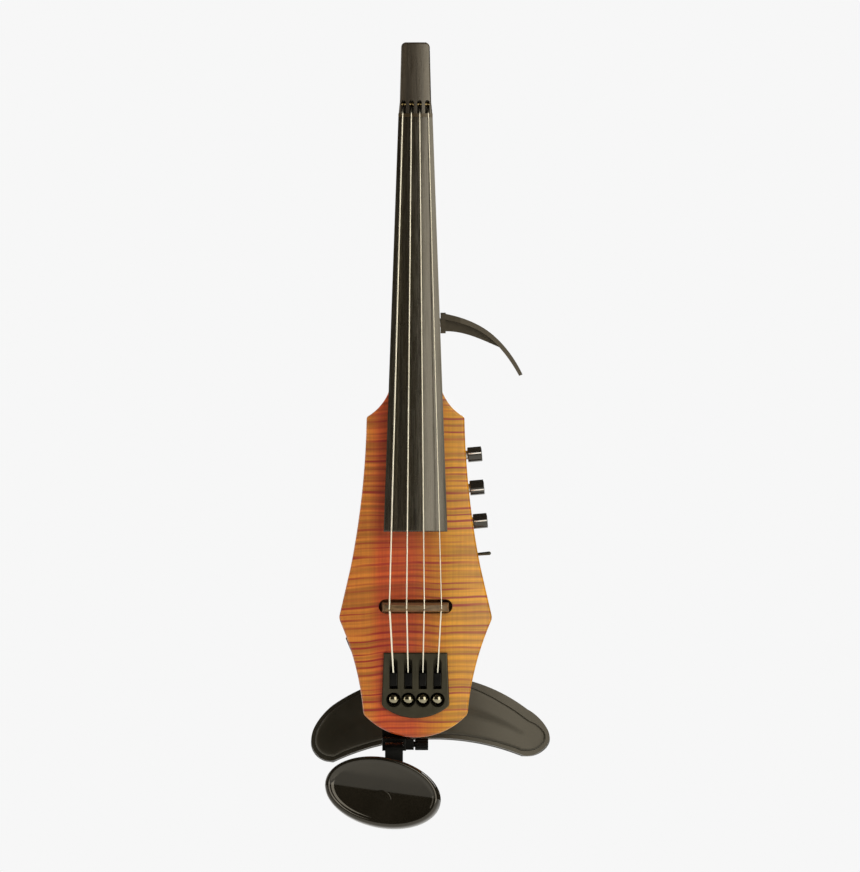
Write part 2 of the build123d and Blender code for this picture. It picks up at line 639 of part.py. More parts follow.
def chin_plate():
    """The dished oval that the jaw rests in, wider at its foot than at its rim."""
    def oval(long, short, x, y, z):
        return Pos(CHIN_CENTRE[0] + x, CHIN_CENTRE[1] + y, z) * Rot(0, 0, CHIN_TURN) * Ellipse(long, short)

    plate = loft([oval(39.0, 23.6, 0.5, -0.5, CHIN_BASE_Z), oval(38.0, 22.6, -0.8, 0.8, CHIN_RIM_Z)])
    dish = loft([oval(28.0, 14.0, -0.8, 0.4, CHIN_DISH_Z), oval(35.0, 19.8, -0.8, 0.8, CHIN_RIM_Z + 0.1)])
    plate -= dish
    edges = [e for e in plate.edges() if e.center().Z > CHIN_RIM_Z - 0.1]
    plate = fillet(edges, 1.3)
    plate -= rod(3.0 + FIT, (*CHIN_PIVOT, 0), (*CHIN_PIVOT, 20))
    return plate - rod(5.6, (*CHIN_PIVOT, 9.6), (*CHIN_PIVOT, 20))


def chin_pivot_screw():
    x, y = CHIN_PIVOT
    screw = rod(3.0, (x, y, 1.4), (x, y, 9.7)) + rod(5.5, (x, y, 9.65), (x, y, 11.4))
    nut_body = Plane(origin=(x, y, 1.4)) * RegularPolygon(5.0, 6)
    return screw + extrude(nut_body, 2.55)


def chin_pivot_cap():
    x, y = CHIN_PIVOT
    cap = rod(6.9, (x, y, CHIN_DISH_Z), (x, y, CHIN_DISH_Z + 0.8))
    return fillet([e for e in cap.edges() if e.center().Z > CHIN_DISH_Z + 0.7], 0.4)


def rest_post():
    x, y = POST
    post = rod(4.0, (x, y, -57), (x, y, -35.5)) + rod(7.0, (x, y, -57), (x, y, -55))
    return post + rod(2.5, (x, y, -60), (x, y, -56))


def rest_swivel():
    """The yoke that turns on the post's stud and holds the shoulder rest's hinge."""
    x, y = POST
    yoke = rod(9.0, (x, y, -60), (x, y, -57.05)) - rod(2.5 + FIT, (x, y, -70), (x, y, -50))
    for side in (-1, 1):
        inner, outer = x + side * 3.3, x + side * 6.3
        ear = rod(3.5, (inner, y, REST_PIN_Z), (outer, y, REST_PIN_Z))
        ear += block((min(inner, outer), y - 3.5, REST_PIN_Z), (max(inner, outer), y + 3.5, -59.5))
        yoke += ear
    return yoke - rod(1.5 + FIT, (x - 20, y, REST_PIN_Z), (x + 20, y, REST_PIN_Z))


def rest_hinge_pin():
    x, y = POST
    pin = rod(1.5, (x - 6.8, y, REST_PIN_Z), (x + 6.8, y, REST_PIN_Z))
    return pin + rod(2.4, (x + 6.35, y, REST_PIN_Z), (x + 7.6, y, REST_PIN_Z))


def rest_outline():
    """The kidney outline of the shoulder rest, long wing on the treble side."""
    line = ThreePointArc((-56, -66), (8, -46.5), (76, -69))
    line += Spline((76, -69), (88.0, -79.6), (90.9, -87.2), (85.0, -97.0), (72, -100))
    line += ThreePointArc((72, -100), (8, -89.5), (-56, -104.2))
    line += Spline((-56, -104.2), (-67.0, -99.6), (-70.9, -89.5), (-66.2, -76.5), (-56, -66))
    return make_face(line)


def arched_slab(top, bottom):
    """A slab that droops away from its middle, over the whole of the shoulder rest."""
    x = POST[0] + 2.0
    def layer(z):
        radius = REST_ARCH_RADIUS + (z - REST_TOP_Z)
        return Pos(x, REST_TOP_Z - REST_ARCH_RADIUS) * Circle(radius)
    ring = layer(top) - layer(bottom)
    ring &= Pos(x, REST_TOP_Z) * Rectangle(220, 90)
    return Pos(0, -75, 0) * extrude(cross_plane(0) * ring, 60, both=True)


def tilted(shape):
    x, y = POST
    pin = Pos(0, y, REST_PIN_Z)
    return pin * Rot(REST_TILT, 0, 0) * pin.inverse() * shape


def rest_plate():
    """The stiff upper shell of the shoulder rest, with the lug of its tilt hinge."""
    prism = Pos(0, 0, -120) * extrude(rest_outline(), 80)
    shell = prism & arched_slab(REST_TOP_Z, REST_TOP_Z - 3.0)
    x, y = POST
    lug = rod(3.5, (x - 3.0, y, REST_PIN_Z), (x + 3.0, y, REST_PIN_Z))
    lug += block((x - 3.0, y - 3.5, REST_TOP_Z - 1.5), (x + 3.0, y + 3.5, REST_PIN_Z))
    lug -= rod(1.5 + FIT, (x - 10, y, REST_PIN_Z), (x + 10, y, REST_PIN_Z))
    return tilted(shell + lug)


def rest_pad():
    """The foam pad glued under the shell."""
    prism = Pos(0, 0, -120) * extrude(rest_outline(), 80)
    return tilted(prism & arched_slab(REST_TOP_Z - 3.2, REST_TOP_Z - 13.0))


def upper_bout_arm():
    """The curved arm that gives the hand the edge of a violin's upper bout."""
    edge = Spline((17.2, 196.9), (31, 193.6), (47, 186.0), (61, 172.9), (71.7, 155.8))
    edge += Line((71.7, 155.8), (69.5, 154.9))
    edge += Spline((69.5, 154.9), (58.6, 171.3), (45, 183.7), (31, 189.9), (17.2, 193.0))
    edge += Line((17.2, 193.0), (17.2, 196.9))
    flange = Pos(0, 0, -30) * extrude(make_face(edge), 60)
    depth = Polyline((10, 5.0), (30, 5.0), (80, -0.5), (80, -8.0), (30, -11.0), (10, -11.0), close=True)
    flange &= Pos(0, 250, 0) * extrude(cross_plane(0) * make_face(depth), 200)
    web = make_face(Spline((17.2, 195), (31, 191.8), (46, 184.9), (57.5, 173.5))
                    + Spline((57.5, 173.5), (43.9, 179.4), (29, 184.0), (17.2, 184.6))
                    + Line((17.2, 184.6), (17.2, 195)))
    arm = flange + Pos(0, 0, -4.5) * extrude(web, 3.0)
    boss = block((16.75, 183.4, -6.5), (20.2, 197.2, 4.4))
    boss = fillet([e for e in boss.edges() if e.length < 5], 1.2)
    arm += boss
    return arm - rod(3.0, (10, ARM_Y, 0.4), (19.2, ARM_Y, 0.4))


def arm_dowel():
    return rod(2.98, (4.0, ARM_Y, 0.4), (19.1, ARM_Y, 0.4))


# ---- write every piece --------------------------------------------------------------
def build():
    grooves = [string(name, 0.03) for name in STRINGS]
    cutter = grooves[0] + grooves[1] + grooves[2] + grooves[3]
    top, core = body_halves()
    screws = neck_screws() + rear_cover_screws() + bracket_screws() + tuner_block_screws()
    pieces = {
        "top_plate": top, "body_core": core, "neck": neck(), "truss_rod": truss_rod(),
        "fingerboard": fingerboard(), "nut": nut(cutter),
        "head_block": head_block(cutter), "string_ball_ends": string_ball_ends(),
        "bridge": bridge(cutter), "bridge_pickup": bridge_pickup(), "tuner_block": tuner_block(),
        "potentiometers": potentiometers(),
        "toggle_switch": toggle_switch(), "toggle_lever": toggle_lever(), "preamp_board": preamp_board(),
        "battery": battery(), "battery_clip": battery_clip(), "battery_door": battery_door(),
        "door_hinge_pin": door_hinge_pin(), "rear_cover": rear_cover(),
        "body_screws": Compound(children=screws), "output_jack": output_jack(), "jack_ring": jack_ring(),
        "internal_leads": internal_leads(), "tail_bracket": tail_bracket(),
        "chin_stem": chin_stem(), "chin_plate": chin_plate(),
        "chin_pivot_screw": chin_pivot_screw(), "chin_pivot_cap": chin_pivot_cap(),
        "chin_thumbscrew": thumbscrew((CHIN_SCREW_Y, CHIN_SCREW_Z), -8.2, -0.4, 8.5, 4.1),
        "post_thumbscrew": thumbscrew((POST[1], -42.0), POST[0] + 4.2, POST[0] + 13.0, POST[0] + 21.0, 4.1),
        "rest_post": rest_post(), "rest_swivel": rest_swivel(), "rest_hinge_pin": rest_hinge_pin(),
        "rest_plate": rest_plate(), "rest_pad": rest_pad(), "upper_bout_arm": upper_bout_arm(),
        "arm_dowel": arm_dowel(),
    }
    for name in STRINGS:
        pieces[f"string_{name}"] = string(name)
        pieces[f"afterlength_{name}"] = afterlength(name)
        pieces[f"tuner_carriage_{name}"] = tuner_carriage(name)
        pieces[f"tuner_knob_{name}"] = tuner_knob(name)
    for name in KNOBS:
        pieces[f"{name}_knob"] = control_knob(name)
        pieces[f"{name}_shaft"] = control_shaft(name)
    os.makedirs("parts", exist_ok=True)
    for name, shape in pieces.items():
        save(name, shape)


build()
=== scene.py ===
"""A headless four-string electric violin, stood upright with its face toward the viewer.

Lengths are in metres. +Z runs along the strings toward the head, -Y comes out of the
face and +X is the treble side; the origin is on the back of the neck.
"""
from math import atan2, cos, hypot, pi, radians, sin, sqrt

import bmesh
import bpy
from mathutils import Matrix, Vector


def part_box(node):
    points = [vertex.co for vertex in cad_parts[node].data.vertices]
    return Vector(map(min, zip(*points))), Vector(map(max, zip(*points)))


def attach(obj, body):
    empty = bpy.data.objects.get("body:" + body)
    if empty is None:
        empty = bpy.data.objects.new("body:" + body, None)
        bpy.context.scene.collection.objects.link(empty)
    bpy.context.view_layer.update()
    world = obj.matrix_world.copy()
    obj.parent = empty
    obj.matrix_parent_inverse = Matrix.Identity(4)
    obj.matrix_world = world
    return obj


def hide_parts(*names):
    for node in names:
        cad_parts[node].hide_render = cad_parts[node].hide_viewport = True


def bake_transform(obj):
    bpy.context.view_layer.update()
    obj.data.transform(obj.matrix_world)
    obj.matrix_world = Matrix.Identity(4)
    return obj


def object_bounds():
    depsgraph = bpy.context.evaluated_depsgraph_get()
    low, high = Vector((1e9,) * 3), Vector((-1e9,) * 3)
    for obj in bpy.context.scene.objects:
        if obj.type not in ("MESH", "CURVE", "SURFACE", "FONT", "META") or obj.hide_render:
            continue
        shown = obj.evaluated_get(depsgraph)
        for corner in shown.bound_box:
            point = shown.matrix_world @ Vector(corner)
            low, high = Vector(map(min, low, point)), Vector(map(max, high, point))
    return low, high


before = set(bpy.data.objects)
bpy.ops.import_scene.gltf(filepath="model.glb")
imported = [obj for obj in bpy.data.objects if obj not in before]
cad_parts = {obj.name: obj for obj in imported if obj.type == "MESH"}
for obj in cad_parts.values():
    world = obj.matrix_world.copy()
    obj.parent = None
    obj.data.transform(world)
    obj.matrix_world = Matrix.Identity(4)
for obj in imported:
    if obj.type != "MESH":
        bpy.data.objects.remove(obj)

cad_low, cad_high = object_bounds()


# ---- studio ----
# A pale floor far under the hanging instrument, one long-lens camera square to the face,
# a large softbox on the right, a weak one on the left and two behind, in a room that is
# bright overhead.
face_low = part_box("top_plate")[0]
CAMERA_DISTANCE = 6.0
VIEW_WIDTH = 0.5762
VIEW_CENTRE = Vector((0.0097, face_low.y, -0.1474))

camera_data = bpy.data.cameras.new("camera")
camera_data.sensor_width = 36.0
camera_data.sensor_fit = "HORIZONTAL"
camera_data.lens = camera_data.sensor_width * CAMERA_DISTANCE / VIEW_WIDTH
camera_data.clip_end = 60.0
camera = bpy.data.objects.new("camera", camera_data)
camera.location = VIEW_CENTRE - Vector((0, CAMERA_DISTANCE, 0))
camera.rotation_euler = (radians(90), 0, 0)
bpy.context.collection.objects.link(camera)
bpy.context.scene.camera = camera
bpy.context.scene.view_settings.view_transform = "Standard"


def softbox(name, place, aim, size, power, colour):
    """A rectangular lamp at a place, turned toward the point it is aimed at."""
    data = bpy.data.lights.new(name, "AREA")
    data.shape = "RECTANGLE"
    data.size, data.size_y = size
    data.energy = power
    data.color = colour
    light = bpy.data.objects.new(name, data)
    light.location = place
    light.rotation_euler = (Vector(aim) - Vector(place)).to_track_quat("-Z", "Y").to_euler()
    bpy.context.collection.objects.link(light)


softbox("key", (1.12, -1.67, 0.25), (0, 0, -0.10), (1.5, 2.0), 27, (1.0, 0.96, 0.88))
softbox("fill", (-1.95, -0.60, 0.0), (0, 0, -0.2), (0.5, 1.6), 5, (1.0, 0.93, 0.82))
softbox("back", (0.9, 1.6, 0.9), (0, 0, -0.2), (1.1, 1.4), 22, (1.0, 0.98, 0.95))
softbox("back fill", (-1.5, 1.3, -0.1), (0, 0, -0.2), (1.0, 1.6), 10, (1.0, 0.97, 0.94))


def frame_nodes(tree_nodes, label, members):
    """Put nodes that work on one effect into one labelled frame."""
    box = tree_nodes.new("NodeFrame")
    box.label = label
    for member in members:
        member.parent = box


# The room is plain white where it is seen directly. What it sheds on the instrument
# is bright overhead and dim at eye level, so that dark finishes stay dark.
world = bpy.data.worlds.new("room")
world.use_nodes = True
bpy.context.scene.world = world
nodes, links = world.node_tree.nodes, world.node_tree.links
nodes.clear()
direction = nodes.new("ShaderNodeTexCoord")
direction.label = "direction into the room"
direction.location = (-900, 0)
height = nodes.new("ShaderNodeSeparateXYZ")
height.label = "height in the room"
height.location = (-700, 0)
height_share = nodes.new("ShaderNodeMapRange")
height_share.label = "from floor to ceiling"
height_share.location = (-500, 0)
height_share.inputs["From Min"].default_value = -1.0
walls = nodes.new("ShaderNodeValToRGB")
walls.label = "dim walls under a lit ceiling"
walls.location = (-300, 0)
stops = walls.color_ramp.elements
stops[0].position = 0.0
stops[0].color = (0.20, 0.18, 0.15, 1)
stops[1].position = 1.0
stops[1].color = (1.0, 1.0, 1.0, 1)
for position, colour in ((0.45, (0.04, 0.035, 0.025, 1)), (0.72, (0.05, 0.045, 0.035, 1)),
                         (0.82, (0.30, 0.29, 0.26, 1)), (0.90, (0.95, 0.95, 0.94, 1))):
    stops.new(position).color = colour
shed = nodes.new("ShaderNodeBackground")
shed.label = "light shed on the instrument"
shed.location = (0, 0)
shed.inputs["Strength"].default_value = 1.6
seen = nodes.new("ShaderNodeBackground")
seen.label = "plain white seen behind it"
seen.location = (0, -150)
seen.inputs["Color"].default_value = (0.93, 0.93, 0.93, 1)
mirrored = nodes.new("ShaderNodeBackground")
mirrored.label = "dim room seen in polished parts"
mirrored.location = (0, -300)
mirrored.inputs["Color"].default_value = (0.055, 0.048, 0.036, 1)
mirrored_pick = nodes.new("ShaderNodeMixShader")
mirrored_pick.label = "polished parts or matt ones"
mirrored_pick.location = (200, -150)
ray = nodes.new("ShaderNodeLightPath")
ray.label = "seen directly or not"
ray.location = (0, 350)
pick = nodes.new("ShaderNodeMixShader")
pick.label = "seen or shed"
pick.location = (400, 0)
output = nodes.new("ShaderNodeOutputWorld")
output.label = "room"
output.location = (600, 0)
links.new(direction.outputs["Generated"], height.inputs["Vector"])
links.new(height.outputs["Z"], height_share.inputs["Value"])
links.new(height_share.outputs["Result"], walls.inputs["Fac"])
links.new(walls.outputs["Color"], shed.inputs["Color"])
links.new(ray.outputs["Is Camera Ray"], pick.inputs["Fac"])
links.new(ray.outputs["Is Glossy Ray"], mirrored_pick.inputs["Fac"])
links.new(shed.outputs["Background"], mirrored_pick.inputs[1])
links.new(mirrored.outputs["Background"], mirrored_pick.inputs[2])
links.new(mirrored_pick.outputs["Shader"], pick.inputs[1])
links.new(seen.outputs["Background"], pick.inputs[2])
links.new(pick.outputs["Shader"], output.inputs["Surface"])
frame_nodes(nodes, "light shed by the room", (direction, height, height_share, walls, shed))
frame_nodes(nodes, "what shows of the room", (mirrored, mirrored_pick, seen, ray, pick))

FLOOR_RADIUS, FLOOR_SIDES, FLOOR_DROP = 11.0, 96, 0.6
floor_mesh = bpy.data.meshes.new("floor")
shape = bmesh.new()
bmesh.ops.create_circle(shape, cap_ends=True, segments=FLOOR_SIDES, radius=FLOOR_RADIUS)
shape.to_mesh(floor_mesh)
shape.free()
floor = bpy.data.objects.new("floor", floor_mesh)
floor.location.z = cad_low.z - FLOOR_DROP
bpy.context.collection.objects.link(floor)


def paint(name):
    """A new material with an empty node tree: the material, its nodes and its links."""
    material = bpy.data.materials.new(name)
    material.use_nodes = True
    material.node_tree.nodes.clear()
    return material, material.node_tree.nodes, material.node_tree.links


floor_paint, nodes, links = paint("pale floor")
output = nodes.new("ShaderNodeOutputMaterial")
output.label = "floor surface"
output.location = (600, 0)
surface = nodes.new("ShaderNodeBsdfPrincipled")
surface.label = "matt pale sheet"
surface.location = (300, 0)
surface.inputs["Roughness"].default_value = 0.9
surface.inputs["Specular IOR Level"].default_value = 0.1
mottle = nodes.new("ShaderNodeTexNoise")
mottle.label = "faint mottle of the paper"
mottle.location = (-200, 0)
mottle.inputs["Scale"].default_value = 4.0
tone = nodes.new("ShaderNodeValToRGB")
tone.label = "near-white tones"
tone.location = (0, 0)
low, high = tone.color_ramp.elements
low.color, high.color = (0.78, 0.78, 0.77, 1), (0.82, 0.82, 0.81, 1)
links.new(mottle.outputs["Fac"], tone.inputs["Fac"])
links.new(tone.outputs["Color"], surface.inputs["Base Color"])
links.new(surface.outputs["BSDF"], output.inputs["Surface"])
frame_nodes(nodes, "paper", (mottle, tone))
floor_mesh.materials.append(floor_paint)


# ---- body ----
# The face plate and the core under it are flame maple, stained amber over red and finished in
# satin lacquer. Their colour across the body also holds painted light: the treble side is painted
# lighter and golden as if lit from the right, and the middle is painted darker and redder as
# painted shade. The flame runs across the grain as uneven bars, and the plate is glued to the core
# along a flat seam.
def figured_maple(name, edge_stain, middle_stain_and_shade, treble_stain_and_sheen, flame_stain, flame_depth,
                  grain_depth):
    """Maple figured across the grain, stained from edge to middle to edge with a painted golden
    sheen on the treble side and painted shade in the middle, and finished.
    """
    material, nodes, links = paint(name)
    place = nodes.new("ShaderNodeTexCoord")
    place.label = "place on the plank"
    place.location = (-1700, 0)

    sawn = nodes.new("ShaderNodeMapping")
    sawn.label = "plank sawn a little off square"
    sawn.location = (-1500, 550)
    sawn.inputs["Rotation"].default_value = (0, radians(1.3), 0)
    wander_scale = nodes.new("ShaderNodeMapping")
    wander_scale.label = "slow wander across the plank"
    wander_scale.location = (-1500, 300)
    wander_scale.inputs["Scale"].default_value = (15, 15, 7)
    wander = nodes.new("ShaderNodeTexNoise")
    wander.label = "how the flame bars wander"
    wander.location = (-1300, 300)
    wander.inputs["Scale"].default_value = 1.0
    wander.inputs["Detail"].default_value = 2.0
    push = nodes.new("ShaderNodeVectorMath")
    push.label = "millimetres of wander"
    push.operation = "MULTIPLY_ADD"
    push.location = (-1100, 300)
    push.inputs[1].default_value = (0, 0, 0.009)
    bar_scale = nodes.new("ShaderNodeMapping")
    bar_scale.label = "bars long across, short along"
    bar_scale.location = (-900, 300)
    bar_scale.inputs["Scale"].default_value = (0.06, 0.06, 1)
    bars = nodes.new("ShaderNodeTexWave")
    bars.label = "uneven flame"
    bars.bands_direction = "Z"
    bars.location = (-700, 300)
    for socket, value in (("Scale", 68.0), ("Distortion", 5.5), ("Detail", 1.0),
                          ("Detail Scale", 1.1)):
        bars.inputs[socket].default_value = value
    bar_tone = nodes.new("ShaderNodeMapRange")
    bar_tone.label = "narrow dark bars"
    bar_tone.interpolation_type = "SMOOTHSTEP"
    bar_tone.location = (-220, 300)
    bar_tone.inputs["From Min"].default_value = 0.66
    bar_tone.inputs["From Max"].default_value = 0.99
    fade_scale = nodes.new("ShaderNodeMapping")
    fade_scale.label = "patches a few centimetres long"
    fade_scale.location = (-900, 550)
    fade_scale.inputs["Scale"].default_value = (14, 14, 105)
    fade = nodes.new("ShaderNodeTexNoise")
    fade.label = "where the flame fades out"
    fade.location = (-700, 550)
    fade.inputs["Scale"].default_value = 1.0
    fade.inputs["Detail"].default_value = 2.0
    fade_tone = nodes.new("ShaderNodeMapRange")
    fade_tone.label = "faint to full"
    fade_tone.location = (-500, 550)
    for socket, value in (("From Min", 0.42), ("From Max", 0.60), ("To Min", 0.22),
                          ("To Max", 1.0)):
        fade_tone.inputs[socket].default_value = value
    links.new(place.outputs["Object"], wander_scale.inputs["Vector"])
    links.new(wander_scale.outputs["Vector"], wander.inputs["Vector"])
    links.new(wander.outputs["Color"], push.inputs[0])
    links.new(place.outputs["Object"], sawn.inputs["Vector"])
    links.new(sawn.outputs["Vector"], push.inputs[2])
    links.new(push.outputs["Vector"], bar_scale.inputs["Vector"])
    links.new(bar_scale.outputs["Vector"], bars.inputs["Vector"])
    links.new(bars.outputs["Fac"], bar_tone.inputs["Value"])
    links.new(place.outputs["Object"], fade_scale.inputs["Vector"])
    links.new(fade_scale.outputs["Vector"], fade.inputs["Vector"])
    links.new(fade.outputs["Fac"], fade_tone.inputs["Value"])
    frame_nodes(nodes, "flame figure", (sawn, wander_scale, wander, push, bar_scale, bars,
                                        bar_tone, fade_scale, fade, fade_tone))

    ripple_scale = nodes.new("ShaderNodeMapping")
    ripple_scale.label = "fine ripple between the bars"
    ripple_scale.location = (-900, -50)
    ripple_scale.inputs["Scale"].default_value = (7, 7, 330)
    ripple = nodes.new("ShaderNodeTexNoise")
    ripple.label = "fine cross ripple"
    ripple.location = (-700, -50)
    ripple.inputs["Scale"].default_value = 1.0
    ripple.inputs["Detail"].default_value = 3.0
    fibre_scale = nodes.new("ShaderNodeMapping")
    fibre_scale.label = "fibres run along the strings"
    fibre_scale.location = (-900, -350)
    fibre_scale.inputs["Scale"].default_value = (900, 900, 28)
    fibre = nodes.new("ShaderNodeTexNoise")
    fibre.label = "long fibres and pores"
    fibre.location = (-700, -350)
    fibre.inputs["Scale"].default_value = 1.0
    fibre.inputs["Detail"].default_value = 4.0
    links.new(push.outputs["Vector"], ripple_scale.inputs["Vector"])
    links.new(ripple_scale.outputs["Vector"], ripple.inputs["Vector"])
    links.new(place.outputs["Object"], fibre_scale.inputs["Vector"])
    links.new(fibre_scale.outputs["Vector"], fibre.inputs["Vector"])
    frame_nodes(nodes, "fibres and ripple", (ripple_scale, ripple, fibre_scale, fibre))

    axes = nodes.new("ShaderNodeSeparateXYZ")
    axes.label = "distance across the body"
    axes.location = (-1300, 700)
    across = nodes.new("ShaderNodeMapRange")
    across.label = "bass edge to treble edge"
    across.location = (-1100, 700)
    across.inputs["From Min"].default_value = -0.052
    across.inputs["From Max"].default_value = 0.052
    # From the bass edge to the treble edge: the bass edge is stain, the middle is stain painted
    # darker and redder as painted shade, and the treble side is stain painted lighter and golden
    # as a painted sheen from the light on the right.
    stain = nodes.new("ShaderNodeValToRGB")
    stain.label = "stain with painted sheen and shade"
    stain.location = (-900, 700)
    stops = stain.color_ramp.elements
    stops[0].position = 0.20
    stops[0].color = edge_stain
    stops[1].position = 0.72
    stops[1].color = treble_stain_and_sheen
    for position in (0.27, 0.48):
        stops.new(position).color = middle_stain_and_shade
    links.new(place.outputs["Object"], axes.inputs["Vector"])
    links.new(axes.outputs["X"], across.inputs["Value"])
    links.new(across.outputs["Result"], stain.inputs["Fac"])
    frame_nodes(nodes, "stain and painted light", (axes, across, stain))

    ripple_tone = nodes.new("ShaderNodeMapRange")
    ripple_tone.label = "how far the ripple lightens"
    ripple_tone.location = (-500, -50)
    for socket, value in (("From Min", 0.38), ("From Max", 0.62), ("To Min", 0.70),
                          ("To Max", 1.28)):
        ripple_tone.inputs[socket].default_value = value
    fibre_tone = nodes.new("ShaderNodeMapRange")
    fibre_tone.label = "how far the fibres darken"
    fibre_tone.location = (-500, -350)
    for socket, value in (("From Min", 0.3), ("From Max", 0.7), ("To Min", 1.0 - grain_depth),
                          ("To Max", 1.0 + grain_depth)):
        fibre_tone.inputs[socket].default_value = value
    tone = nodes.new("ShaderNodeMath")
    tone.label = "fibre and ripple together"
    tone.operation = "MULTIPLY"
    tone.location = (-300, -200)
    shaded = nodes.new("ShaderNodeVectorMath")
    shaded.label = "stained wood with its grain"
    shaded.operation = "SCALE"
    shaded.location = (-100, 300)
    bar_strength = nodes.new("ShaderNodeMath")
    bar_strength.label = "flame where it shows"
    bar_strength.operation = "MULTIPLY"
    bar_strength.location = (-60, 300)
    bar_depth = nodes.new("ShaderNodeMath")
    bar_depth.label = "depth of the flame"
    bar_depth.operation = "MULTIPLY"
    bar_depth.location = (60, 500)
    bar_depth.inputs[1].default_value = flame_depth
    colour = nodes.new("ShaderNodeMix")
    colour.label = "dark stain held in the bars"
    colour.data_type = "RGBA"
    colour.location = (100, 300)
    colour.inputs["B"].default_value = flame_stain
    links.new(ripple.outputs["Fac"], ripple_tone.inputs["Value"])
    links.new(fibre.outputs["Fac"], fibre_tone.inputs["Value"])
    links.new(ripple_tone.outputs["Result"], tone.inputs[0])
    links.new(fibre_tone.outputs["Result"], tone.inputs[1])
    links.new(stain.outputs["Color"], shaded.inputs[0])
    links.new(tone.outputs["Value"], shaded.inputs["Scale"])
    links.new(bar_tone.outputs["Result"], bar_strength.inputs[0])
    links.new(fade_tone.outputs["Result"], bar_strength.inputs[1])
    links.new(bar_strength.outputs["Value"], bar_depth.inputs[0])
    links.new(bar_depth.outputs["Value"], colour.inputs["Factor"])
    links.new(shaded.outputs["Vector"], colour.inputs["A"])
    frame_nodes(nodes, "colour", (ripple_tone, fibre_tone, tone, shaded, bar_strength,
                                  bar_depth, colour))

    relief = nodes.new("ShaderNodeBump")
    relief.label = "grain felt through the lacquer"
    relief.location = (100, -300)
    relief.inputs["Strength"].default_value = 0.12
    relief.inputs["Distance"].default_value = 0.0002
    gloss = nodes.new("ShaderNodeMapRange")
    gloss.label = "duller where the grain sinks"
    gloss.location = (100, 0)
    gloss.inputs["To Min"].default_value = 0.46
    gloss.inputs["To Max"].default_value = 0.34
    surface = nodes.new("ShaderNodeBsdfPrincipled")
    surface.label = "lacquered maple"
    surface.location = (400, 200)
    for socket, value in (("Specular IOR Level", 0.35), ("Coat Weight", 0.35),
                          ("Coat Roughness", 0.22), ("Coat IOR", 1.46)):
        surface.inputs[socket].default_value = value
    output = nodes.new("ShaderNodeOutputMaterial")
    output.label = "maple surface"
    output.location = (700, 200)
    links.new(fibre.outputs["Fac"], relief.inputs["Height"])
    links.new(fibre.outputs["Fac"], gloss.inputs["Value"])
    links.new(colour.outputs["Result"], surface.inputs["Base Color"])
    links.new(gloss.outputs["Result"], surface.inputs["Roughness"])
    links.new(relief.outputs["Normal"], surface.inputs["Normal"])
    links.new(surface.outputs["BSDF"], output.inputs["Surface"])
    frame_nodes(nodes, "lacquer", (relief, gloss, surface))
    return material


def finish_node(material, *names):
    """Give each CAD node one material in all its slots."""
    for name in names:
        piece = bpy.data.objects[name]
        piece.data.materials.clear()
        piece.data.materials.append(material)


# The treble colour here is painted lighter and golden for the light from the right, and the middle
# colour is painted darker red as shade.
amber_maple = figured_maple(
    "amber flame maple", edge_stain=(0.46, 0.150, 0.018, 1),
    middle_stain_and_shade=(0.45, 0.072, 0.014, 1), treble_stain_and_sheen=(0.50, 0.215, 0.005, 1),
    flame_stain=(0.25, 0.010, 0.010, 1), flame_depth=0.88, grain_depth=0.10)
finish_node(amber_maple, "top_plate")
# As above, the treble colour carries a painted sheen and the middle colour painted shade.
core_maple = figured_maple(
    "amber maple core", edge_stain=(0.50, 0.19, 0.035, 1), middle_stain_and_shade=(0.42, 0.12, 0.024, 1),
    treble_stain_and_sheen=(0.54, 0.21, 0.032, 1), flame_stain=(0.22, 0.03, 0.012, 1), flame_depth=0.6,
    grain_depth=0.12)
finish_node(core_maple, "body_core")


# ---- neck ----
# One piece of plainer maple, oiled rather than lacquered. Its heel ends in a tenon that
# is let into the body and held by four screws from the back.
neck_maple = figured_maple(
    "oiled neck maple", edge_stain=(0.40, 0.22, 0.10, 1), middle_stain_and_shade=(0.42, 0.235, 0.11, 1),
    treble_stain_and_sheen=(0.40, 0.22, 0.10, 1), flame_stain=(0.26, 0.12, 0.05, 1), flame_depth=0.28,
    grain_depth=0.14)
finish_node(neck_maple, "neck")


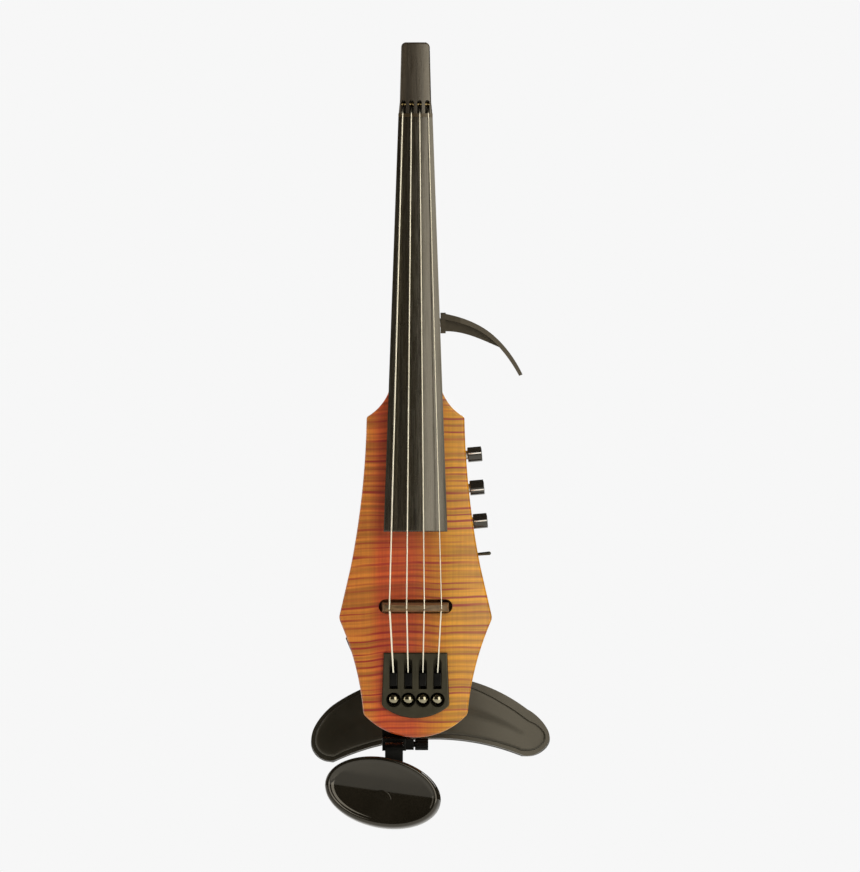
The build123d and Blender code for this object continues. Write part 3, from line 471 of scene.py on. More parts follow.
# ---- truss rod ----
# A stiff bar of carbon fibre in black resin, glued into the spine of the neck under the
# fingerboard.
def moulded_plastic(name, colour, speck_colour, roughness, texture_scale, texture_depth, coat=0.0):
    """A plastic or composite with the texture of its mould, polished where it is handled."""
    material, nodes, links = paint(name)
    place = nodes.new("ShaderNodeTexCoord")
    place.label = "place on the moulding"
    place.location = (-900, 0)
    texture = nodes.new("ShaderNodeTexNoise")
    texture.label = "texture of the mould"
    texture.location = (-700, -150)
    texture.inputs["Scale"].default_value = texture_scale
    texture.inputs["Detail"].default_value = 2.0
    handling = nodes.new("ShaderNodeTexNoise")
    handling.label = "handled and clean areas"
    handling.location = (-700, 150)
    handling.inputs["Scale"].default_value = 38.0
    handling.inputs["Detail"].default_value = 4.0
    tone = nodes.new("ShaderNodeValToRGB")
    tone.label = "slight change of tone"
    tone.location = (-450, 150)
    low, high = tone.color_ramp.elements
    low.position, high.position = 0.35, 0.75
    low.color, high.color = colour, speck_colour
    polish = nodes.new("ShaderNodeMapRange")
    polish.label = "polished by handling"
    polish.location = (-450, -100)
    for socket, value in (("From Min", 0.3), ("From Max", 0.7), ("To Min", roughness * 0.85),
                          ("To Max", roughness * 1.2)):
        polish.inputs[socket].default_value = value
    relief = nodes.new("ShaderNodeBump")
    relief.label = "mould texture"
    relief.location = (-450, -350)
    relief.inputs["Strength"].default_value = texture_depth
    relief.inputs["Distance"].default_value = 0.0001
    surface = nodes.new("ShaderNodeBsdfPrincipled")
    surface.label = "finished moulding"
    surface.location = (-100, 0)
    for socket, value in (("Specular Tint", (1.0, 0.92, 0.76, 1)), ("Coat Weight", coat),
                          ("Coat Roughness", 0.03)):
        surface.inputs[socket].default_value = value
    output = nodes.new("ShaderNodeOutputMaterial")
    output.label = "moulding surface"
    output.location = (200, 0)
    links.new(place.outputs["Object"], texture.inputs["Vector"])
    links.new(place.outputs["Object"], handling.inputs["Vector"])
    links.new(handling.outputs["Fac"], tone.inputs["Fac"])
    links.new(handling.outputs["Fac"], polish.inputs["Value"])
    links.new(texture.outputs["Fac"], relief.inputs["Height"])
    links.new(tone.outputs["Color"], surface.inputs["Base Color"])
    links.new(polish.outputs["Result"], surface.inputs["Roughness"])
    links.new(relief.outputs["Normal"], surface.inputs["Normal"])
    links.new(surface.outputs["BSDF"], output.inputs["Surface"])
    frame_nodes(nodes, "tone and polish", (handling, tone, polish))
    frame_nodes(nodes, "mould texture", (texture, relief))
    return material


satin_black = moulded_plastic(
    "satin black", colour=(0.012, 0.012, 0.011, 1), speck_colour=(0.020, 0.020, 0.018, 1),
    roughness=0.42, texture_scale=2600, texture_depth=0.10)
finish_node(satin_black, "truss_rod")


# ---- fingerboard and head ----
# The board is ebony, oiled and burnished by the hand. The blind head block is a brown
# hardwood, slotted for the ball ends of the strings.
def dark_wood(name, dark, light, grain_scale, roughness, shine):
    """A close-grained hardwood, oiled and burnished."""
    material, nodes, links = paint(name)
    place = nodes.new("ShaderNodeTexCoord")
    place.label = "place on the blank"
    place.location = (-1100, 0)
    stretch = nodes.new("ShaderNodeMapping")
    stretch.label = "grain drawn out lengthwise"
    stretch.location = (-900, 0)
    stretch.inputs["Scale"].default_value = grain_scale
    grain = nodes.new("ShaderNodeTexNoise")
    grain.label = "bands of grain"
    grain.location = (-700, 100)
    for socket, value in (("Scale", 1.0), ("Detail", 6.0), ("Roughness", 0.6)):
        grain.inputs[socket].default_value = value
    pores = nodes.new("ShaderNodeTexNoise")
    pores.label = "open pores"
    pores.location = (-700, -200)
    pores.inputs["Scale"].default_value = 4.2
    pores.inputs["Detail"].default_value = 3.0
    tone = nodes.new("ShaderNodeValToRGB")
    tone.label = "dark and light wood"
    tone.location = (-450, 100)
    low, high = tone.color_ramp.elements
    low.position, high.position = 0.32, 0.70
    low.color, high.color = dark, light
    wear = nodes.new("ShaderNodeMapRange")
    wear.label = "burnished and dull patches"
    wear.location = (-450, -200)
    for socket, value in (("From Min", 0.3), ("From Max", 0.7), ("To Min", roughness - 0.06),
                          ("To Max", roughness + 0.08)):
        wear.inputs[socket].default_value = value
    relief = nodes.new("ShaderNodeBump")
    relief.label = "pores just felt"
    relief.location = (-450, -450)
    relief.inputs["Strength"].default_value = 0.18
    relief.inputs["Distance"].default_value = 0.0002
    surface = nodes.new("ShaderNodeBsdfPrincipled")
    surface.label = "oiled hardwood"
    surface.location = (-100, 0)
    surface.inputs["Specular IOR Level"].default_value = shine
    surface.inputs["Specular Tint"].default_value = (1.0, 0.93, 0.78, 1)
    output = nodes.new("ShaderNodeOutputMaterial")
    output.label = "hardwood surface"
    output.location = (200, 0)
    links.new(place.outputs["Object"], stretch.inputs["Vector"])
    links.new(stretch.outputs["Vector"], grain.inputs["Vector"])
    links.new(stretch.outputs["Vector"], pores.inputs["Vector"])
    links.new(grain.outputs["Fac"], tone.inputs["Fac"])
    links.new(pores.outputs["Fac"], wear.inputs["Value"])
    links.new(pores.outputs["Fac"], relief.inputs["Height"])
    links.new(tone.outputs["Color"], surface.inputs["Base Color"])
    links.new(wear.outputs["Result"], surface.inputs["Roughness"])
    links.new(relief.outputs["Normal"], surface.inputs["Normal"])
    links.new(surface.outputs["BSDF"], output.inputs["Surface"])
    frame_nodes(nodes, "grain colour", (stretch, grain, tone))
    frame_nodes(nodes, "pores and wear", (pores, wear, relief))
    return material


ebony = dark_wood(
    "burnished ebony", dark=(0.005, 0.0035, 0.0015, 1), light=(0.017, 0.013, 0.006, 1),
    grain_scale=(260, 260, 9), roughness=0.26, shine=1.0)
finish_node(ebony, "fingerboard")
head_wood = dark_wood(
    "brown head wood", dark=(0.008, 0.005, 0.0025, 1), light=(0.038, 0.027, 0.016, 1),
    grain_scale=(420, 420, 16), roughness=0.33, shine=1.0)
finish_node(head_wood, "head_block")


# ---- nut ----
# A thin strip of dark horn, slotted for the strings and glued across the end of the
# fingerboard.
dark_horn = moulded_plastic(
    "dark horn", colour=(0.030, 0.020, 0.009, 1), speck_colour=(0.085, 0.060, 0.030, 1),
    roughness=0.30, texture_scale=900, texture_depth=0.05)
finish_node(dark_horn, "nut")


# ---- bridge and pickup ----
# A plain bar of brown hardwood with its grain across the body. It stands on a black
# pickup bar that is let into the face.
bridge_wood = dark_wood(
    "bridge wood", dark=(0.046, 0.025, 0.010, 1), light=(0.20, 0.118, 0.050, 1),
    grain_scale=(60, 420, 420), roughness=0.48, shine=0.45)
finish_node(bridge_wood, "bridge")
finish_node(satin_black, "bridge_pickup")


# ---- screws ----
# Blackened steel screws, driven in from the back. They hold the neck, the cover, the
# tuner block and the tail bracket.
def worked_metal(name, colour, worn_colour, roughness, brush_scale, brush_depth):
    """A metal with brush marks and an uneven, slightly worn finish."""
    material, nodes, links = paint(name)
    place = nodes.new("ShaderNodeTexCoord")
    place.label = "place on the metal"
    place.location = (-1100, 0)
    stretch = nodes.new("ShaderNodeMapping")
    stretch.label = "direction of the brushing"
    stretch.location = (-900, 0)
    stretch.inputs["Scale"].default_value = brush_scale
    brushing = nodes.new("ShaderNodeTexNoise")
    brushing.label = "fine brushing"
    brushing.location = (-700, -150)
    brushing.inputs["Scale"].default_value = 1.0
    brushing.inputs["Detail"].default_value = 3.0
    cloud = nodes.new("ShaderNodeTexNoise")
    cloud.label = "uneven finish"
    cloud.location = (-700, 150)
    cloud.inputs["Scale"].default_value = 70.0
    cloud.inputs["Detail"].default_value = 4.0
    tone = nodes.new("ShaderNodeValToRGB")
    tone.label = "finish and wear colour"
    tone.location = (-450, 150)
    low, high = tone.color_ramp.elements
    low.position, high.position = 0.4, 0.8
    low.color, high.color = colour, worn_colour
    polish = nodes.new("ShaderNodeMapRange")
    polish.label = "duller in the brushing"
    polish.location = (-450, -100)
    for socket, value in (("From Min", 0.3), ("From Max", 0.7), ("To Min", roughness * 0.85),
                          ("To Max", roughness * 1.2)):
        polish.inputs[socket].default_value = value
    relief = nodes.new("ShaderNodeBump")
    relief.label = "brush marks"
    relief.location = (-450, -350)
    relief.inputs["Strength"].default_value = brush_depth
    relief.inputs["Distance"].default_value = 0.00005
    surface = nodes.new("ShaderNodeBsdfPrincipled")
    surface.label = "finished metal"
    surface.location = (-100, 0)
    surface.inputs["Metallic"].default_value = 1.0
    output = nodes.new("ShaderNodeOutputMaterial")
    output.label = "metal surface"
    output.location = (200, 0)
    links.new(place.outputs["Object"], stretch.inputs["Vector"])
    links.new(stretch.outputs["Vector"], brushing.inputs["Vector"])
    links.new(place.outputs["Object"], cloud.inputs["Vector"])
    links.new(cloud.outputs["Fac"], tone.inputs["Fac"])
    links.new(brushing.outputs["Fac"], polish.inputs["Value"])
    links.new(brushing.outputs["Fac"], relief.inputs["Height"])
    links.new(tone.outputs["Color"], surface.inputs["Base Color"])
    links.new(polish.outputs["Result"], surface.inputs["Roughness"])
    links.new(relief.outputs["Normal"], surface.inputs["Normal"])
    links.new(surface.outputs["BSDF"], output.inputs["Surface"])
    frame_nodes(nodes, "brushing", (stretch, brushing, polish, relief))
    frame_nodes(nodes, "finish colour", (cloud, tone))
    return material


screw_steel = worked_metal(
    "blackened screw", colour=(0.05, 0.05, 0.05, 1), worn_colour=(0.12, 0.12, 0.11, 1),
    roughness=0.34, brush_scale=(900, 900, 900), brush_depth=0.15)
finish_node(screw_steel, "body_screws")


# ---- back covers ----
# The cover of the controls and the battery door are black plastic with a fine mould
# texture. The door turns on a steel pin.
cover_black = moulded_plastic(
    "textured cover black", colour=(0.015, 0.015, 0.014, 1),
    speck_colour=(0.024, 0.023, 0.021, 1), roughness=0.55, texture_scale=1500,
    texture_depth=0.35)
finish_node(cover_black, "rear_cover", "battery_door")
bright_steel = worked_metal(
    "bright steel", colour=(0.46, 0.45, 0.43, 1), worn_colour=(0.56, 0.55, 0.52, 1),
    roughness=0.28, brush_scale=(1200, 1200, 1200), brush_depth=0.15)
finish_node(bright_steel, "door_hinge_pin")


# ---- tuner block and carriages ----
# The block is milled from aluminium, anodised dark and let into the face. A carriage of
# blackened steel slides in each of its four slots and holds the tail of one string.
STRING_NAMES = ("g", "d", "a", "e")
block_metal = worked_metal(
    "dark anodised block", colour=(0.055, 0.050, 0.034, 1), worn_colour=(0.075, 0.068, 0.046, 1),
    roughness=0.42, brush_scale=(1500, 1500, 60), brush_depth=0.25)
finish_node(block_metal, "tuner_block")
black_steel = worked_metal(
    "blackened steel", colour=(0.012, 0.012, 0.011, 1), worn_colour=(0.022, 0.021, 0.019, 1),
    roughness=0.35, brush_scale=(900, 900, 900), brush_depth=0.12)
finish_node(black_steel, *[f"tuner_carriage_{name}" for name in STRING_NAMES])


# ---- tuner knobs ----
# A chromed ball with a small nose, turned in one piece with a short neck, on a black
# threaded stem. Turning it draws the string's carriage along its slot.
MM = 0.001
# Pairs of (distance along the stem from the middle of the ball, radius), in millimetres.
BALL_PROFILE = ((-4.45, 0.0), (-4.40, 0.35), (-4.15, 0.95), (-3.75, 1.85), (-3.10, 2.85),
                (-2.20, 3.63), (-1.10, 4.10), (0.0, 4.25), (1.10, 4.10), (2.20, 3.63),
                (3.00, 3.00), (3.45, 2.45), (3.60, 1.90), (3.75, 1.40))
STEM_PROFILE = ((3.4, 0.0), (3.4, 1.36), (22.3, 1.36), (22.65, 1.0), (22.65, 0.0))
BALL_SIDES, STEM_SIDES = 48, 24
BALL_MIDDLE = 4.55                       # from the lowest point of the knob
chrome = worked_metal(
    "polished chrome", colour=(0.29, 0.265, 0.18, 1), worn_colour=(0.35, 0.32, 0.23, 1),
    roughness=0.06, brush_scale=(400, 400, 400), brush_depth=0.02)


def mesh_piece(name, shape):
    """Turn a bmesh into a smooth-shaded object in the scene."""
    mesh = bpy.data.meshes.new(name)
    shape.to_mesh(mesh)
    shape.free()
    mesh.shade_smooth()
    piece = bpy.data.objects.new(name, mesh)
    bpy.context.collection.objects.link(piece)
    return piece


def turned(name, profile, sides, centre):
    """A round piece about a line parallel to the strings, from pairs of (along, radius)."""
    shape = bmesh.new()
    rings = []
    for along, radius in profile:
        if radius == 0:
            rings.append([shape.verts.new(centre + Vector((0, 0, along * MM)))])
            continue
        ring = []
        for side in range(sides):
            angle = 2 * pi * side / sides
            spoke = Vector((radius * cos(angle), radius * sin(angle), along))
            ring.append(shape.verts.new(centre + MM * spoke))
        rings.append(ring)
    for low, high in zip(rings, rings[1:]):
        for side in range(sides):
            after = (side + 1) % sides
            corners = [low[side % len(low)], low[after % len(low)],
                       high[after % len(high)], high[side % len(high)]]
            shape.faces.new(list(dict.fromkeys(corners)))
    if len(rings[-1]) > 1:
        shape.faces.new(rings[-1])
    bmesh.ops.recalc_face_normals(shape, faces=shape.faces)
    return mesh_piece(name, shape)


for name in STRING_NAMES:
    low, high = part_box(f"tuner_knob_{name}")
    middle = Vector(((low.x + high.x) / 2, (low.y + high.y) / 2, low.z + BALL_MIDDLE * MM))
    ball = turned(f"tuner_ball_{name}", BALL_PROFILE, BALL_SIDES, middle)
    ball.data.materials.append(chrome)
    stem = turned(f"tuner_stem_{name}", STEM_PROFILE, STEM_SIDES, middle)
    stem.data.materials.append(black_steel)
    for piece in (ball, stem):
        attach(piece, f"tuner_knob_{name}")
    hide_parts(f"tuner_knob_{name}")


# ---- strings ----
# Four steel strings wound with flat ribbon. Each runs from a brass ball end in the head,
# over the nut and the bridge, to its carriage.
string_material = worked_metal(
    "wound string", colour=(0.84, 0.79, 0.63, 1), worn_colour=(0.95, 0.90, 0.75, 1),
    roughness=0.34, brush_scale=(500, 500, 5200), brush_depth=0.6)
finish_node(string_material, *[f"string_{name}" for name in STRING_NAMES])
brass = worked_metal(
    "ball end brass", colour=(0.62, 0.44, 0.18, 1), worn_colour=(0.70, 0.52, 0.24, 1),
    roughness=0.25, brush_scale=(900, 900, 900), brush_depth=0.1)
finish_node(brass, "string_ball_ends")

# The short length behind the bridge is a piece of its own, a straight tube from the bridge to its
# carriage.
TAIL_SIDES, TAIL_STEPS = 16, 40


def skin(shape, rings):
    """Join rings of equal count into a closed skin, with a face across each end."""
    for near, far in zip(rings, rings[1:]):
        for side in range(len(near)):
            after = (side + 1) % len(near)
            shape.faces.new((near[side], near[after], far[after], far[side]))
    shape.faces.new(rings[0])
    shape.faces.new(rings[-1])
    bmesh.ops.recalc_face_normals(shape, faces=shape.faces)


for name in STRING_NAMES:
    low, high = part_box(f"afterlength_{name}")
    slider_low, slider_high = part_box(f"tuner_carriage_{name}")
    carriage_x = (slider_low.x + slider_high.x) / 2
    radius = min(high.x - carriage_x, carriage_x - low.x)
    bridge_x = low.x + radius if carriage_x < 0 else high.x - radius
    bridge_end = Vector((bridge_x, low.y + radius, high.z))
    carriage_end = Vector((carriage_x, high.y - radius, low.z))
    shape = bmesh.new()
    line = carriage_end - bridge_end
    side_a = line.cross(Vector((1, 0, 0))).normalized() * radius
    side_b = line.cross(side_a).normalized() * radius
    rings = []
    for step in range(TAIL_STEPS + 1):
        at = bridge_end + line * (step / TAIL_STEPS)
        ring = []
        for turn in range(TAIL_SIDES):
            angle = 2 * pi * turn / TAIL_SIDES
            ring.append(shape.verts.new(at + side_a * cos(angle) + side_b * sin(angle)))
        rings.append(ring)
    skin(shape, rings)
    piece = mesh_piece(f"string_tail_{name}", shape)
    piece.data.materials.append(string_material)
    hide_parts(f"afterlength_{name}")
    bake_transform(piece)


# ---- electronics ----
# A small preamp board with its leads, three potentiometers and a switch in the control
# cavity, a battery with its clip under the door, and a jack in a ring on the lower side.
board_green = moulded_plastic(
    "solder resist", colour=(0.010, 0.060, 0.025, 1), speck_colour=(0.014, 0.085, 0.035, 1),
    roughness=0.35, texture_scale=1800, texture_depth=0.1, coat=0.2)
finish_node(board_green, "preamp_board")
lead_rubber = moulded_plastic(
    "lead insulation", colour=(0.014, 0.014, 0.013, 1), speck_colour=(0.025, 0.025, 0.024, 1),
    roughness=0.5, texture_scale=1200, texture_depth=0.1)
finish_node(lead_rubber, "internal_leads")
battery_metal = worked_metal(
    "battery jacket", colour=(0.14, 0.14, 0.15, 1), worn_colour=(0.18, 0.18, 0.19, 1),
    roughness=0.3, brush_scale=(200, 200, 900), brush_depth=0.1)
finish_node(battery_metal, "battery")
finish_node(satin_black, "battery_clip")
finish_node(bright_steel, "potentiometers", "toggle_switch", "output_jack")
finish_node(black_steel, "jack_ring")


# ---- control knobs and toggle ----
# Three glossy black knobs, turned and polished, sit on steel shafts on the treble side.
# The toggle lever beside them is bronzed steel.
knob_black = moulded_plastic(
    "polished knob black", colour=(0.010, 0.009, 0.007, 1), speck_colour=(0.016, 0.014, 0.010, 1),
    roughness=0.16, texture_scale=900, texture_depth=0.02, coat=0.6)
finish_node(knob_black, "volume_knob", "bass_knob", "treble_knob")
finish_node(bright_steel, "volume_shaft", "bass_shaft", "treble_shaft")
lever_metal = worked_metal(
    "bronzed lever", colour=(0.075, 0.068, 0.045, 1), worn_colour=(0.11, 0.10, 0.07, 1),
    roughness=0.3, brush_scale=(900, 900, 900), brush_depth=0.1)
finish_node(lever_metal, "toggle_lever")


# ---- knob pointers and painted highlights ----
# A white line is inlaid along the side of each control knob and over its end, to show how far it
# is turned. It is also a painted highlight: each knob is left at its own setting so that its white
# line lies where the highlight line falls on that knob.
KNOB_RADIUS, SHAFT_LEAN = 5.05, radians(5)
POINTER_WIDTH, POINTER_DEPTH = 0.85, 0.3
POINTER_RADIUS = KNOB_RADIUS + 0.06
# Places along the inlay: (share of the knob's length, distance out from its axis).
POINTER_HIGHLIGHT_PATH = ((-0.44, 4.6), (-0.44, POINTER_RADIUS), (0.0, POINTER_RADIUS),
                (0.44, POINTER_RADIUS), (0.475, KNOB_RADIUS - 0.05), (0.5, KNOB_RADIUS - 0.45),
                (0.506, 4.2), (0.506, 1.2), (0.49, 1.2))
# White of the inlaid pointers, which also stand in as the knobs' painted highlight lines.
pointer_highlight_white = moulded_plastic(
    "pointer white", colour=(0.80, 0.79, 0.74, 1), speck_colour=(0.90, 0.89, 0.85, 1),
    roughness=0.4, texture_scale=900, texture_depth=0.02)
# Each setting puts the white line where the knob's highlight falls, so the line is a painted
# highlight.
for name, setting in (("volume", radians(8)), ("bass", radians(-19)), ("treble", radians(1))):
    low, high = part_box(f"{name}_knob")
    middle = (low + high) / 2
    out = Vector((cos(SHAFT_LEAN), 0, sin(SHAFT_LEAN)))
    along_body = Vector((-sin(SHAFT_LEAN), 0, cos(SHAFT_LEAN)))
    length = (high.x - low.x - 2 * KNOB_RADIUS * MM * sin(SHAFT_LEAN)) / cos(SHAFT_LEAN)
    shape = bmesh.new()
    rings = []
    for share, radius in POINTER_HIGHLIGHT_PATH:
        ring = []
        for side in (-0.5, 0.5):
            swing = setting + side * POINTER_WIDTH / radius
            spoke = along_body * sin(swing) + Vector((0, -1, 0)) * cos(swing)
            ring.append(shape.verts.new(middle + out * share * length + spoke * radius * MM))
        rings.append(ring)
    for (a, b), (c, d) in zip(rings, rings[1:]):
        shape.faces.new((a, b, d, c))
    bmesh.ops.recalc_face_normals(shape, faces=shape.faces)
    pointer_highlight = mesh_piece(f"{name}_pointer", shape)
    depth = pointer_highlight.modifiers.new("depth of the inlay", "SOLIDIFY")
    depth.thickness = POINTER_DEPTH * MM
    depth.offset = -1.0
    pointer_highlight.data.materials.append(pointer_highlight_white)
    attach(pointer_highlight, f"{name}_knob")


# ---- tail bracket ----
# One bracket of blackened steel, screwed behind the tail, clamps the stem of the chin
# rest and the post of the shoulder rest. A thumbscrew tightens each clamp.
finish_node(black_steel, "tail_bracket", "chin_thumbscrew", "post_thumbscrew")


# ---- chin rest ----
# A dished oval of black composite, polished to a mirror, with a raised rim. It turns on
# one screw through the link of its steel stem, under a flush cap.
finish_node(black_steel, "chin_stem")
finish_node(bright_steel, "chin_pivot_screw")
piano_black = moulded_plastic(
    "mirror black", colour=(0.006, 0.005, 0.003, 1), speck_colour=(0.011, 0.009, 0.006, 1),
    roughness=0.06, texture_scale=500, texture_depth=0.0, coat=0.25)
finish_node(piano_black, "chin_pivot_cap")
CHIN_TURN = radians(-11)
CHIN_HALF_LENGTH, CHIN_HALF_WIDTH = 39.0, 23.6
CHIN_RIM_HEIGHT, CHIN_RIM_LEAN = 8.2, 1.3
CHIN_BOWL_DEPTH = 2.1
CHIN_BOWL_SHARES = (0.95, 0.88, 0.78, 0.66, 0.52, 0.37, 0.22, 0.09)
CHIN_SIDES = 128
# Pairs of (distance in from the widest outline, height above the underside), millimetres.
CHIN_WALL = ((3.0, 0.0), (1.2, 0.05), (0.35, 0.4), (0.0, 1.1), (0.05, 3.0), (0.3, 5.2),
             (0.75, 6.9), (1.3, 7.7), (2.1, 8.15), (3.0, CHIN_RIM_HEIGHT), (3.9, 7.95),
             (4.5, 7.4), (5.0, 7.0))


def chin_ring(shape, inset, height, shrink=1.0):
    """One oval ring of the plate; the rim leans toward the bass side as it rises."""
    lean = CHIN_RIM_LEAN * height / CHIN_RIM_HEIGHT
    ring = []
    for side in range(CHIN_SIDES):
        angle = 2 * pi * side / CHIN_SIDES
        across = (CHIN_HALF_LENGTH - inset) * shrink * cos(angle)
        along = (CHIN_HALF_WIDTH - inset) * shrink * sin(angle)
        x = across * cos(CHIN_TURN) - along * sin(CHIN_TURN) - lean
        z = across * sin(CHIN_TURN) + along * cos(CHIN_TURN) + lean
        ring.append(shape.verts.new(chin_foot + MM * Vector((x, -height, z))))
    return ring


plate_low, plate_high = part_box("chin_plate")
chin_foot = (plate_low + plate_high) / 2
chin_foot.y = plate_high.y
shape = bmesh.new()
rings = [chin_ring(shape, inset, height) for inset, height in CHIN_WALL]
bowl_inset, bowl_edge = CHIN_WALL[-1]
for shrink in CHIN_BOWL_SHARES:
    bowl_height = bowl_edge - CHIN_BOWL_DEPTH * (1 - shrink * shrink)
    rings.append(chin_ring(shape, bowl_inset, bowl_height, shrink))
skin(shape, rings)
chin_dish = mesh_piece("chin_dish", shape)
chin_dish.data.materials.append(piano_black)
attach(chin_dish, "chin_rest")
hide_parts("chin_plate")


# ---- shoulder rest ----
# A stiff arched shell with a raised inner face, and a firm foam pad in a knitted cover
# glued under it. Both tilt on a steel pin in the swivel, which turns on the post.
finish_node(bright_steel, "rest_post", "rest_hinge_pin")
finish_node(black_steel, "rest_swivel")
shell_black = moulded_plastic(
    "satin shell", colour=(0.016, 0.014, 0.009, 1), speck_colour=(0.024, 0.021, 0.014, 1),
    roughness=0.34, texture_scale=1400, texture_depth=0.04)
finish_node(shell_black, "rest_plate")

# The kidney outline laid flat, in millimetres: its spine, its two long edges and its ends.
REST_SPINE = ((-52.0, -85.2), (8.0, -68.0), (71.0, -84.6))
REST_UPPER = ((-56.0, -66.0), (8.0, -46.5), (76.0, -69.0))
REST_LOWER = ((72.0, -100.0), (8.0, -89.5), (-56.0, -104.2))
REST_TREBLE_END = ((76.0, -69.0), (84.6, -75.2), (88.9, -81.0), (90.9, -87.2), (89.6, -92.4),
                   (85.0, -97.0), (79.0, -99.6), (72.0, -100.0))
REST_BASS_END = ((-56.0, -104.2), (-62.4, -102.9), (-67.4, -99.4), (-70.2, -94.8),
                 (-70.9, -89.5), (-69.6, -82.6), (-66.2, -76.5), (-61.6, -70.8),
                 (-56.0, -66.0))
EDGE_STEPS, END_STEPS, SPINE_STEPS = 60, 5, 240
# The shell is arched about its middle and tilted on its pin. The instrument's own
# millimetres start at the bridge and the face.
REST_MIDDLE_X, REST_ARCH, REST_TOP = 8.0, 260.0, -69.0
REST_PIN_Y, REST_PIN_Z, REST_TILT = -76.0, -64.0, radians(-8)
INSTRUMENT_Y, INSTRUMENT_Z = 262.0, -8.1


def arc_through(points, count):
    """Evenly spaced points on the circle through three points, from the first to the last."""
    (ax, ay), (bx, by), (cx, cy) = points
    scale = 2 * (ax * (by - cy) + bx * (cy - ay) + cx * (ay - by))
    a_sum, b_sum, c_sum = ax * ax + ay * ay, bx * bx + by * by, cx * cx + cy * cy
    x = (a_sum * (by - cy) + b_sum * (cy - ay) + c_sum * (ay - by)) / scale
    y = (a_sum * (cx - bx) + b_sum * (ax - cx) + c_sum * (bx - ax)) / scale
    start, end = atan2(ay - y, ax - x), atan2(cy - y, cx - x)
    radius = hypot(ax - x, ay - y)
    return [(x + radius * cos(start + (end - start) * step / count),
             y + radius * sin(start + (end - start) * step / count)) for step in range(count + 1)]


def rounded_end(points, count):
    """A smooth curve through the points of one end of the outline."""
    curve = []
    padded = (points[0],) + points + (points[-1],)
    for before, start, end, after in zip(padded, padded[1:], padded[2:], padded[3:]):
        for step in range(count):
            t = step / count
            curve.append(tuple(
                0.5 * (2 * q + (r - p) * t + (2 * p - 5 * q + 4 * r - u) * t * t
                       + (3 * q - p - 3 * r + u) * t ** 3)
                for p, q, r, u in zip(before, start, end, after)))
    return curve


rest_edge = (arc_through(REST_UPPER, EDGE_STEPS)[:-1] + rounded_end(REST_TREBLE_END, END_STEPS)
             + arc_through(REST_LOWER, EDGE_STEPS)[:-1] + rounded_end(REST_BASS_END, END_STEPS))
rest_spine = arc_through(REST_SPINE, SPINE_STEPS)


def hung(x, y, z):
    """A place on the rest: from millimetres on the flat to its arched, tilted place."""
    radius = REST_ARCH + (z - REST_TOP)
    z = REST_TOP - REST_ARCH + sqrt(radius * radius - (x - REST_MIDDLE_X) ** 2)
    dy, dz = y - REST_PIN_Y, z - REST_PIN_Z
    y = REST_PIN_Y + dy * cos(REST_TILT) - dz * sin(REST_TILT)
    z = REST_PIN_Z + dy * sin(REST_TILT) + dz * cos(REST_TILT)
    return MM * Vector((x, INSTRUMENT_Z - z, y - INSTRUMENT_Y))


# A further inset on the upper edge of the treble wing: it grows from this far along the
# wing, over this run, and fades over this height above the spine. All in millimetres.
EXTRA_STARTS, EXTRA_RUN, EXTRA_RISE = 20, 40, 12


def wing_shape(profile, inner, upper_extra=0.0):
    """A closed form on the kidney outline.

    The profile gives rings as (distance in, height), and inner gives rings as (share of
    the way to the spine, height).
    """
    shape = bmesh.new()
    spokes = []
    for x, y in rest_edge:
        foot_x, foot_y = min(rest_spine, key=lambda point: hypot(point[0] - x, point[1] - y))
        toward_treble = min(1, max(0, (x - EXTRA_STARTS) / EXTRA_RUN))
        toward_upper = min(1, max(0, (y - foot_y) / EXTRA_RISE))
        spokes.append((x, y, foot_x - x, foot_y - y, upper_extra * toward_treble * toward_upper))
    last_inset = profile[-1][0]
    steps = [(inset, height, 0.0) for inset, height in profile]
    steps += [(last_inset, height, part) for part, height in inner]
    rings = []
    for inset, height, part in steps:
        ring = []
        for x, y, dx, dy, extra in spokes:
            share = (inset + extra) / hypot(dx, dy)
            share += (1 - share) * part
            ring.append(shape.verts.new(hung(x + dx * share, y + dy * share, height)))
        rings.append(ring)
    skin(shape, rings)
    return shape


# The raised face of the shell, with a soft edge that stands proud of the border.
FACE_PROFILE = ((2.9, -69.3), (2.8, -68.5), (2.95, -67.8), (3.5, -67.4), (4.4, -67.25),
                (6.0, -67.2))
FACE_INNER = ((0.3, -67.2), (0.6, -67.2), (0.9, -67.2))
rest_face = mesh_piece("rest_face", wing_shape(FACE_PROFILE, FACE_INNER, upper_extra=3.0))
rest_face.data.materials.append(shell_black)
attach(rest_face, "shoulder_rest")

# The pad is flat where it is glued and crowned below, and it bulges a little at its
# sides. Its cover is knitted from dark yarn.
knit, nodes, links = paint("knitted pad cover")
place = nodes.new("ShaderNodeTexCoord")
place.label = "place on the cover"
place.location = (-1100, 0)
wales = nodes.new("ShaderNodeTexWave")
wales.label = "ribs of the knit"
wales.location = (-850, 150)
wales.bands_direction = "X"
for socket, value in (("Scale", 420.0), ("Distortion", 1.5), ("Detail", 2.0)):
    wales.inputs[socket].default_value = value
courses = nodes.new("ShaderNodeTexWave")
courses.label = "rows of stitches"
courses.location = (-850, -150)
courses.bands_direction = "Z"
courses.inputs["Scale"].default_value = 520.0
courses.inputs["Distortion"].default_value = 1.5
stitches = nodes.new("ShaderNodeMath")
stitches.label = "stitches where they cross"
stitches.operation = "MULTIPLY"
stitches.location = (-600, 0)
pressed = nodes.new("ShaderNodeTexNoise")
pressed.label = "pressed and fluffed areas"
pressed.location = (-850, -450)
pressed.inputs["Scale"].default_value = 45.0
pressed.inputs["Detail"].default_value = 5.0
yarn = nodes.new("ShaderNodeValToRGB")
yarn.label = "dark yarn"
yarn.location = (-600, -450)
low, high = yarn.color_ramp.elements
low.position, high.position = 0.35, 0.70
low.color, high.color = (0.014, 0.013, 0.010, 1), (0.034, 0.031, 0.024, 1)
relief = nodes.new("ShaderNodeBump")
relief.label = "stitch relief"
relief.location = (-350, -150)
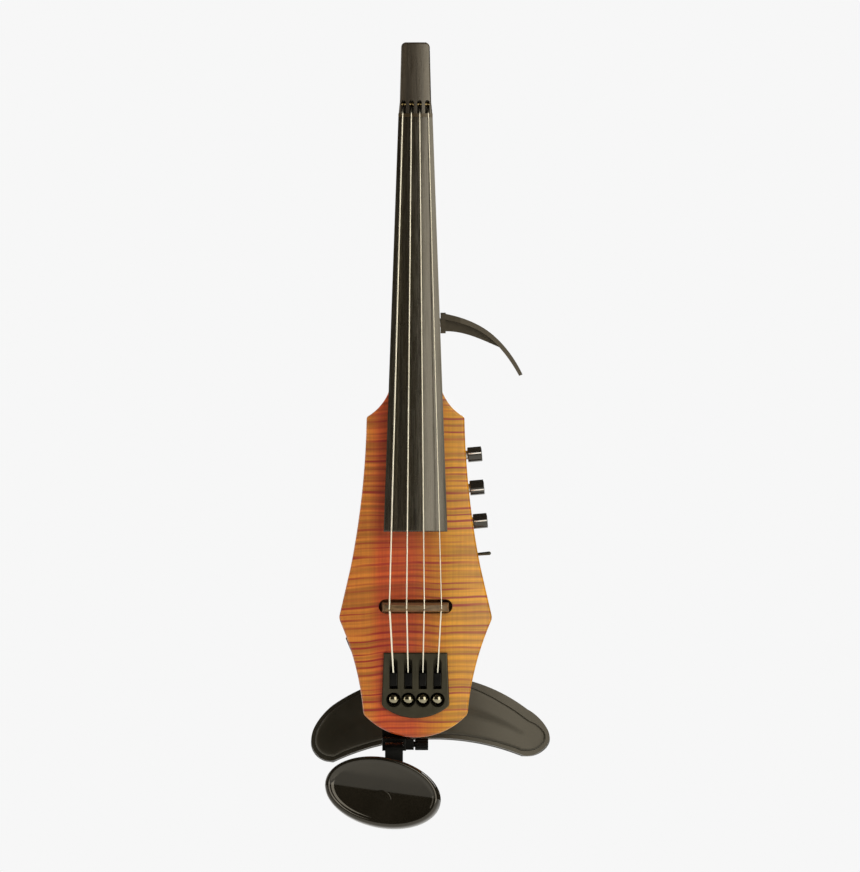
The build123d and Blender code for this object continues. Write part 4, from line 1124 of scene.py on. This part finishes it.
relief.inputs["Strength"].default_value = 0.5
relief.inputs["Distance"].default_value = 0.0003
surface = nodes.new("ShaderNodeBsdfPrincipled")
surface.label = "knitted cover"
surface.location = (-100, 0)
for socket, value in (("Roughness", 0.9), ("Specular IOR Level", 0.15), ("Sheen Weight", 0.25),
                      ("Sheen Roughness", 0.5)):
    surface.inputs[socket].default_value = value
output = nodes.new("ShaderNodeOutputMaterial")
output.label = "pad cover surface"
output.location = (200, 0)
links.new(place.outputs["Object"], wales.inputs["Vector"])
links.new(place.outputs["Object"], courses.inputs["Vector"])
links.new(place.outputs["Object"], pressed.inputs["Vector"])
links.new(wales.outputs["Fac"], stitches.inputs[0])
links.new(courses.outputs["Fac"], stitches.inputs[1])
links.new(stitches.outputs["Value"], relief.inputs["Height"])
links.new(pressed.outputs["Fac"], yarn.inputs["Fac"])
links.new(yarn.outputs["Color"], surface.inputs["Base Color"])
links.new(relief.outputs["Normal"], surface.inputs["Normal"])
links.new(surface.outputs["BSDF"], output.inputs["Surface"])
frame_nodes(nodes, "knit", (wales, courses, stitches, relief))
frame_nodes(nodes, "yarn colour", (pressed, yarn))

PAD_PROFILE = ((1.6, -72.15), (0.7, -72.3), (0.1, -73.2), (-0.3, -75.0), (-0.2, -77.2),
               (0.5, -79.2), (1.8, -80.8), (3.8, -81.8))
PAD_INNER = ((0.25, -82.5), (0.6, -82.9), (0.93, -83.0))
rest_cushion = mesh_piece("rest_cushion", wing_shape(PAD_PROFILE, PAD_INNER))
rest_cushion.data.materials.append(knit)
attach(rest_cushion, "shoulder_rest")
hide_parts("rest_pad")


# ---- upper-bout arm ----
# A moulded arm that gives the hand the edge of a violin's upper bout. It pulls off the
# neck on one steel dowel.
arm_black = moulded_plastic(
    "arm composite", colour=(0.024, 0.018, 0.010, 1), speck_colour=(0.048, 0.038, 0.024, 1),
    roughness=0.4, texture_scale=1400, texture_depth=0.08)
finish_node(arm_black, "upper_bout_arm")
finish_node(bright_steel, "arm_dowel")
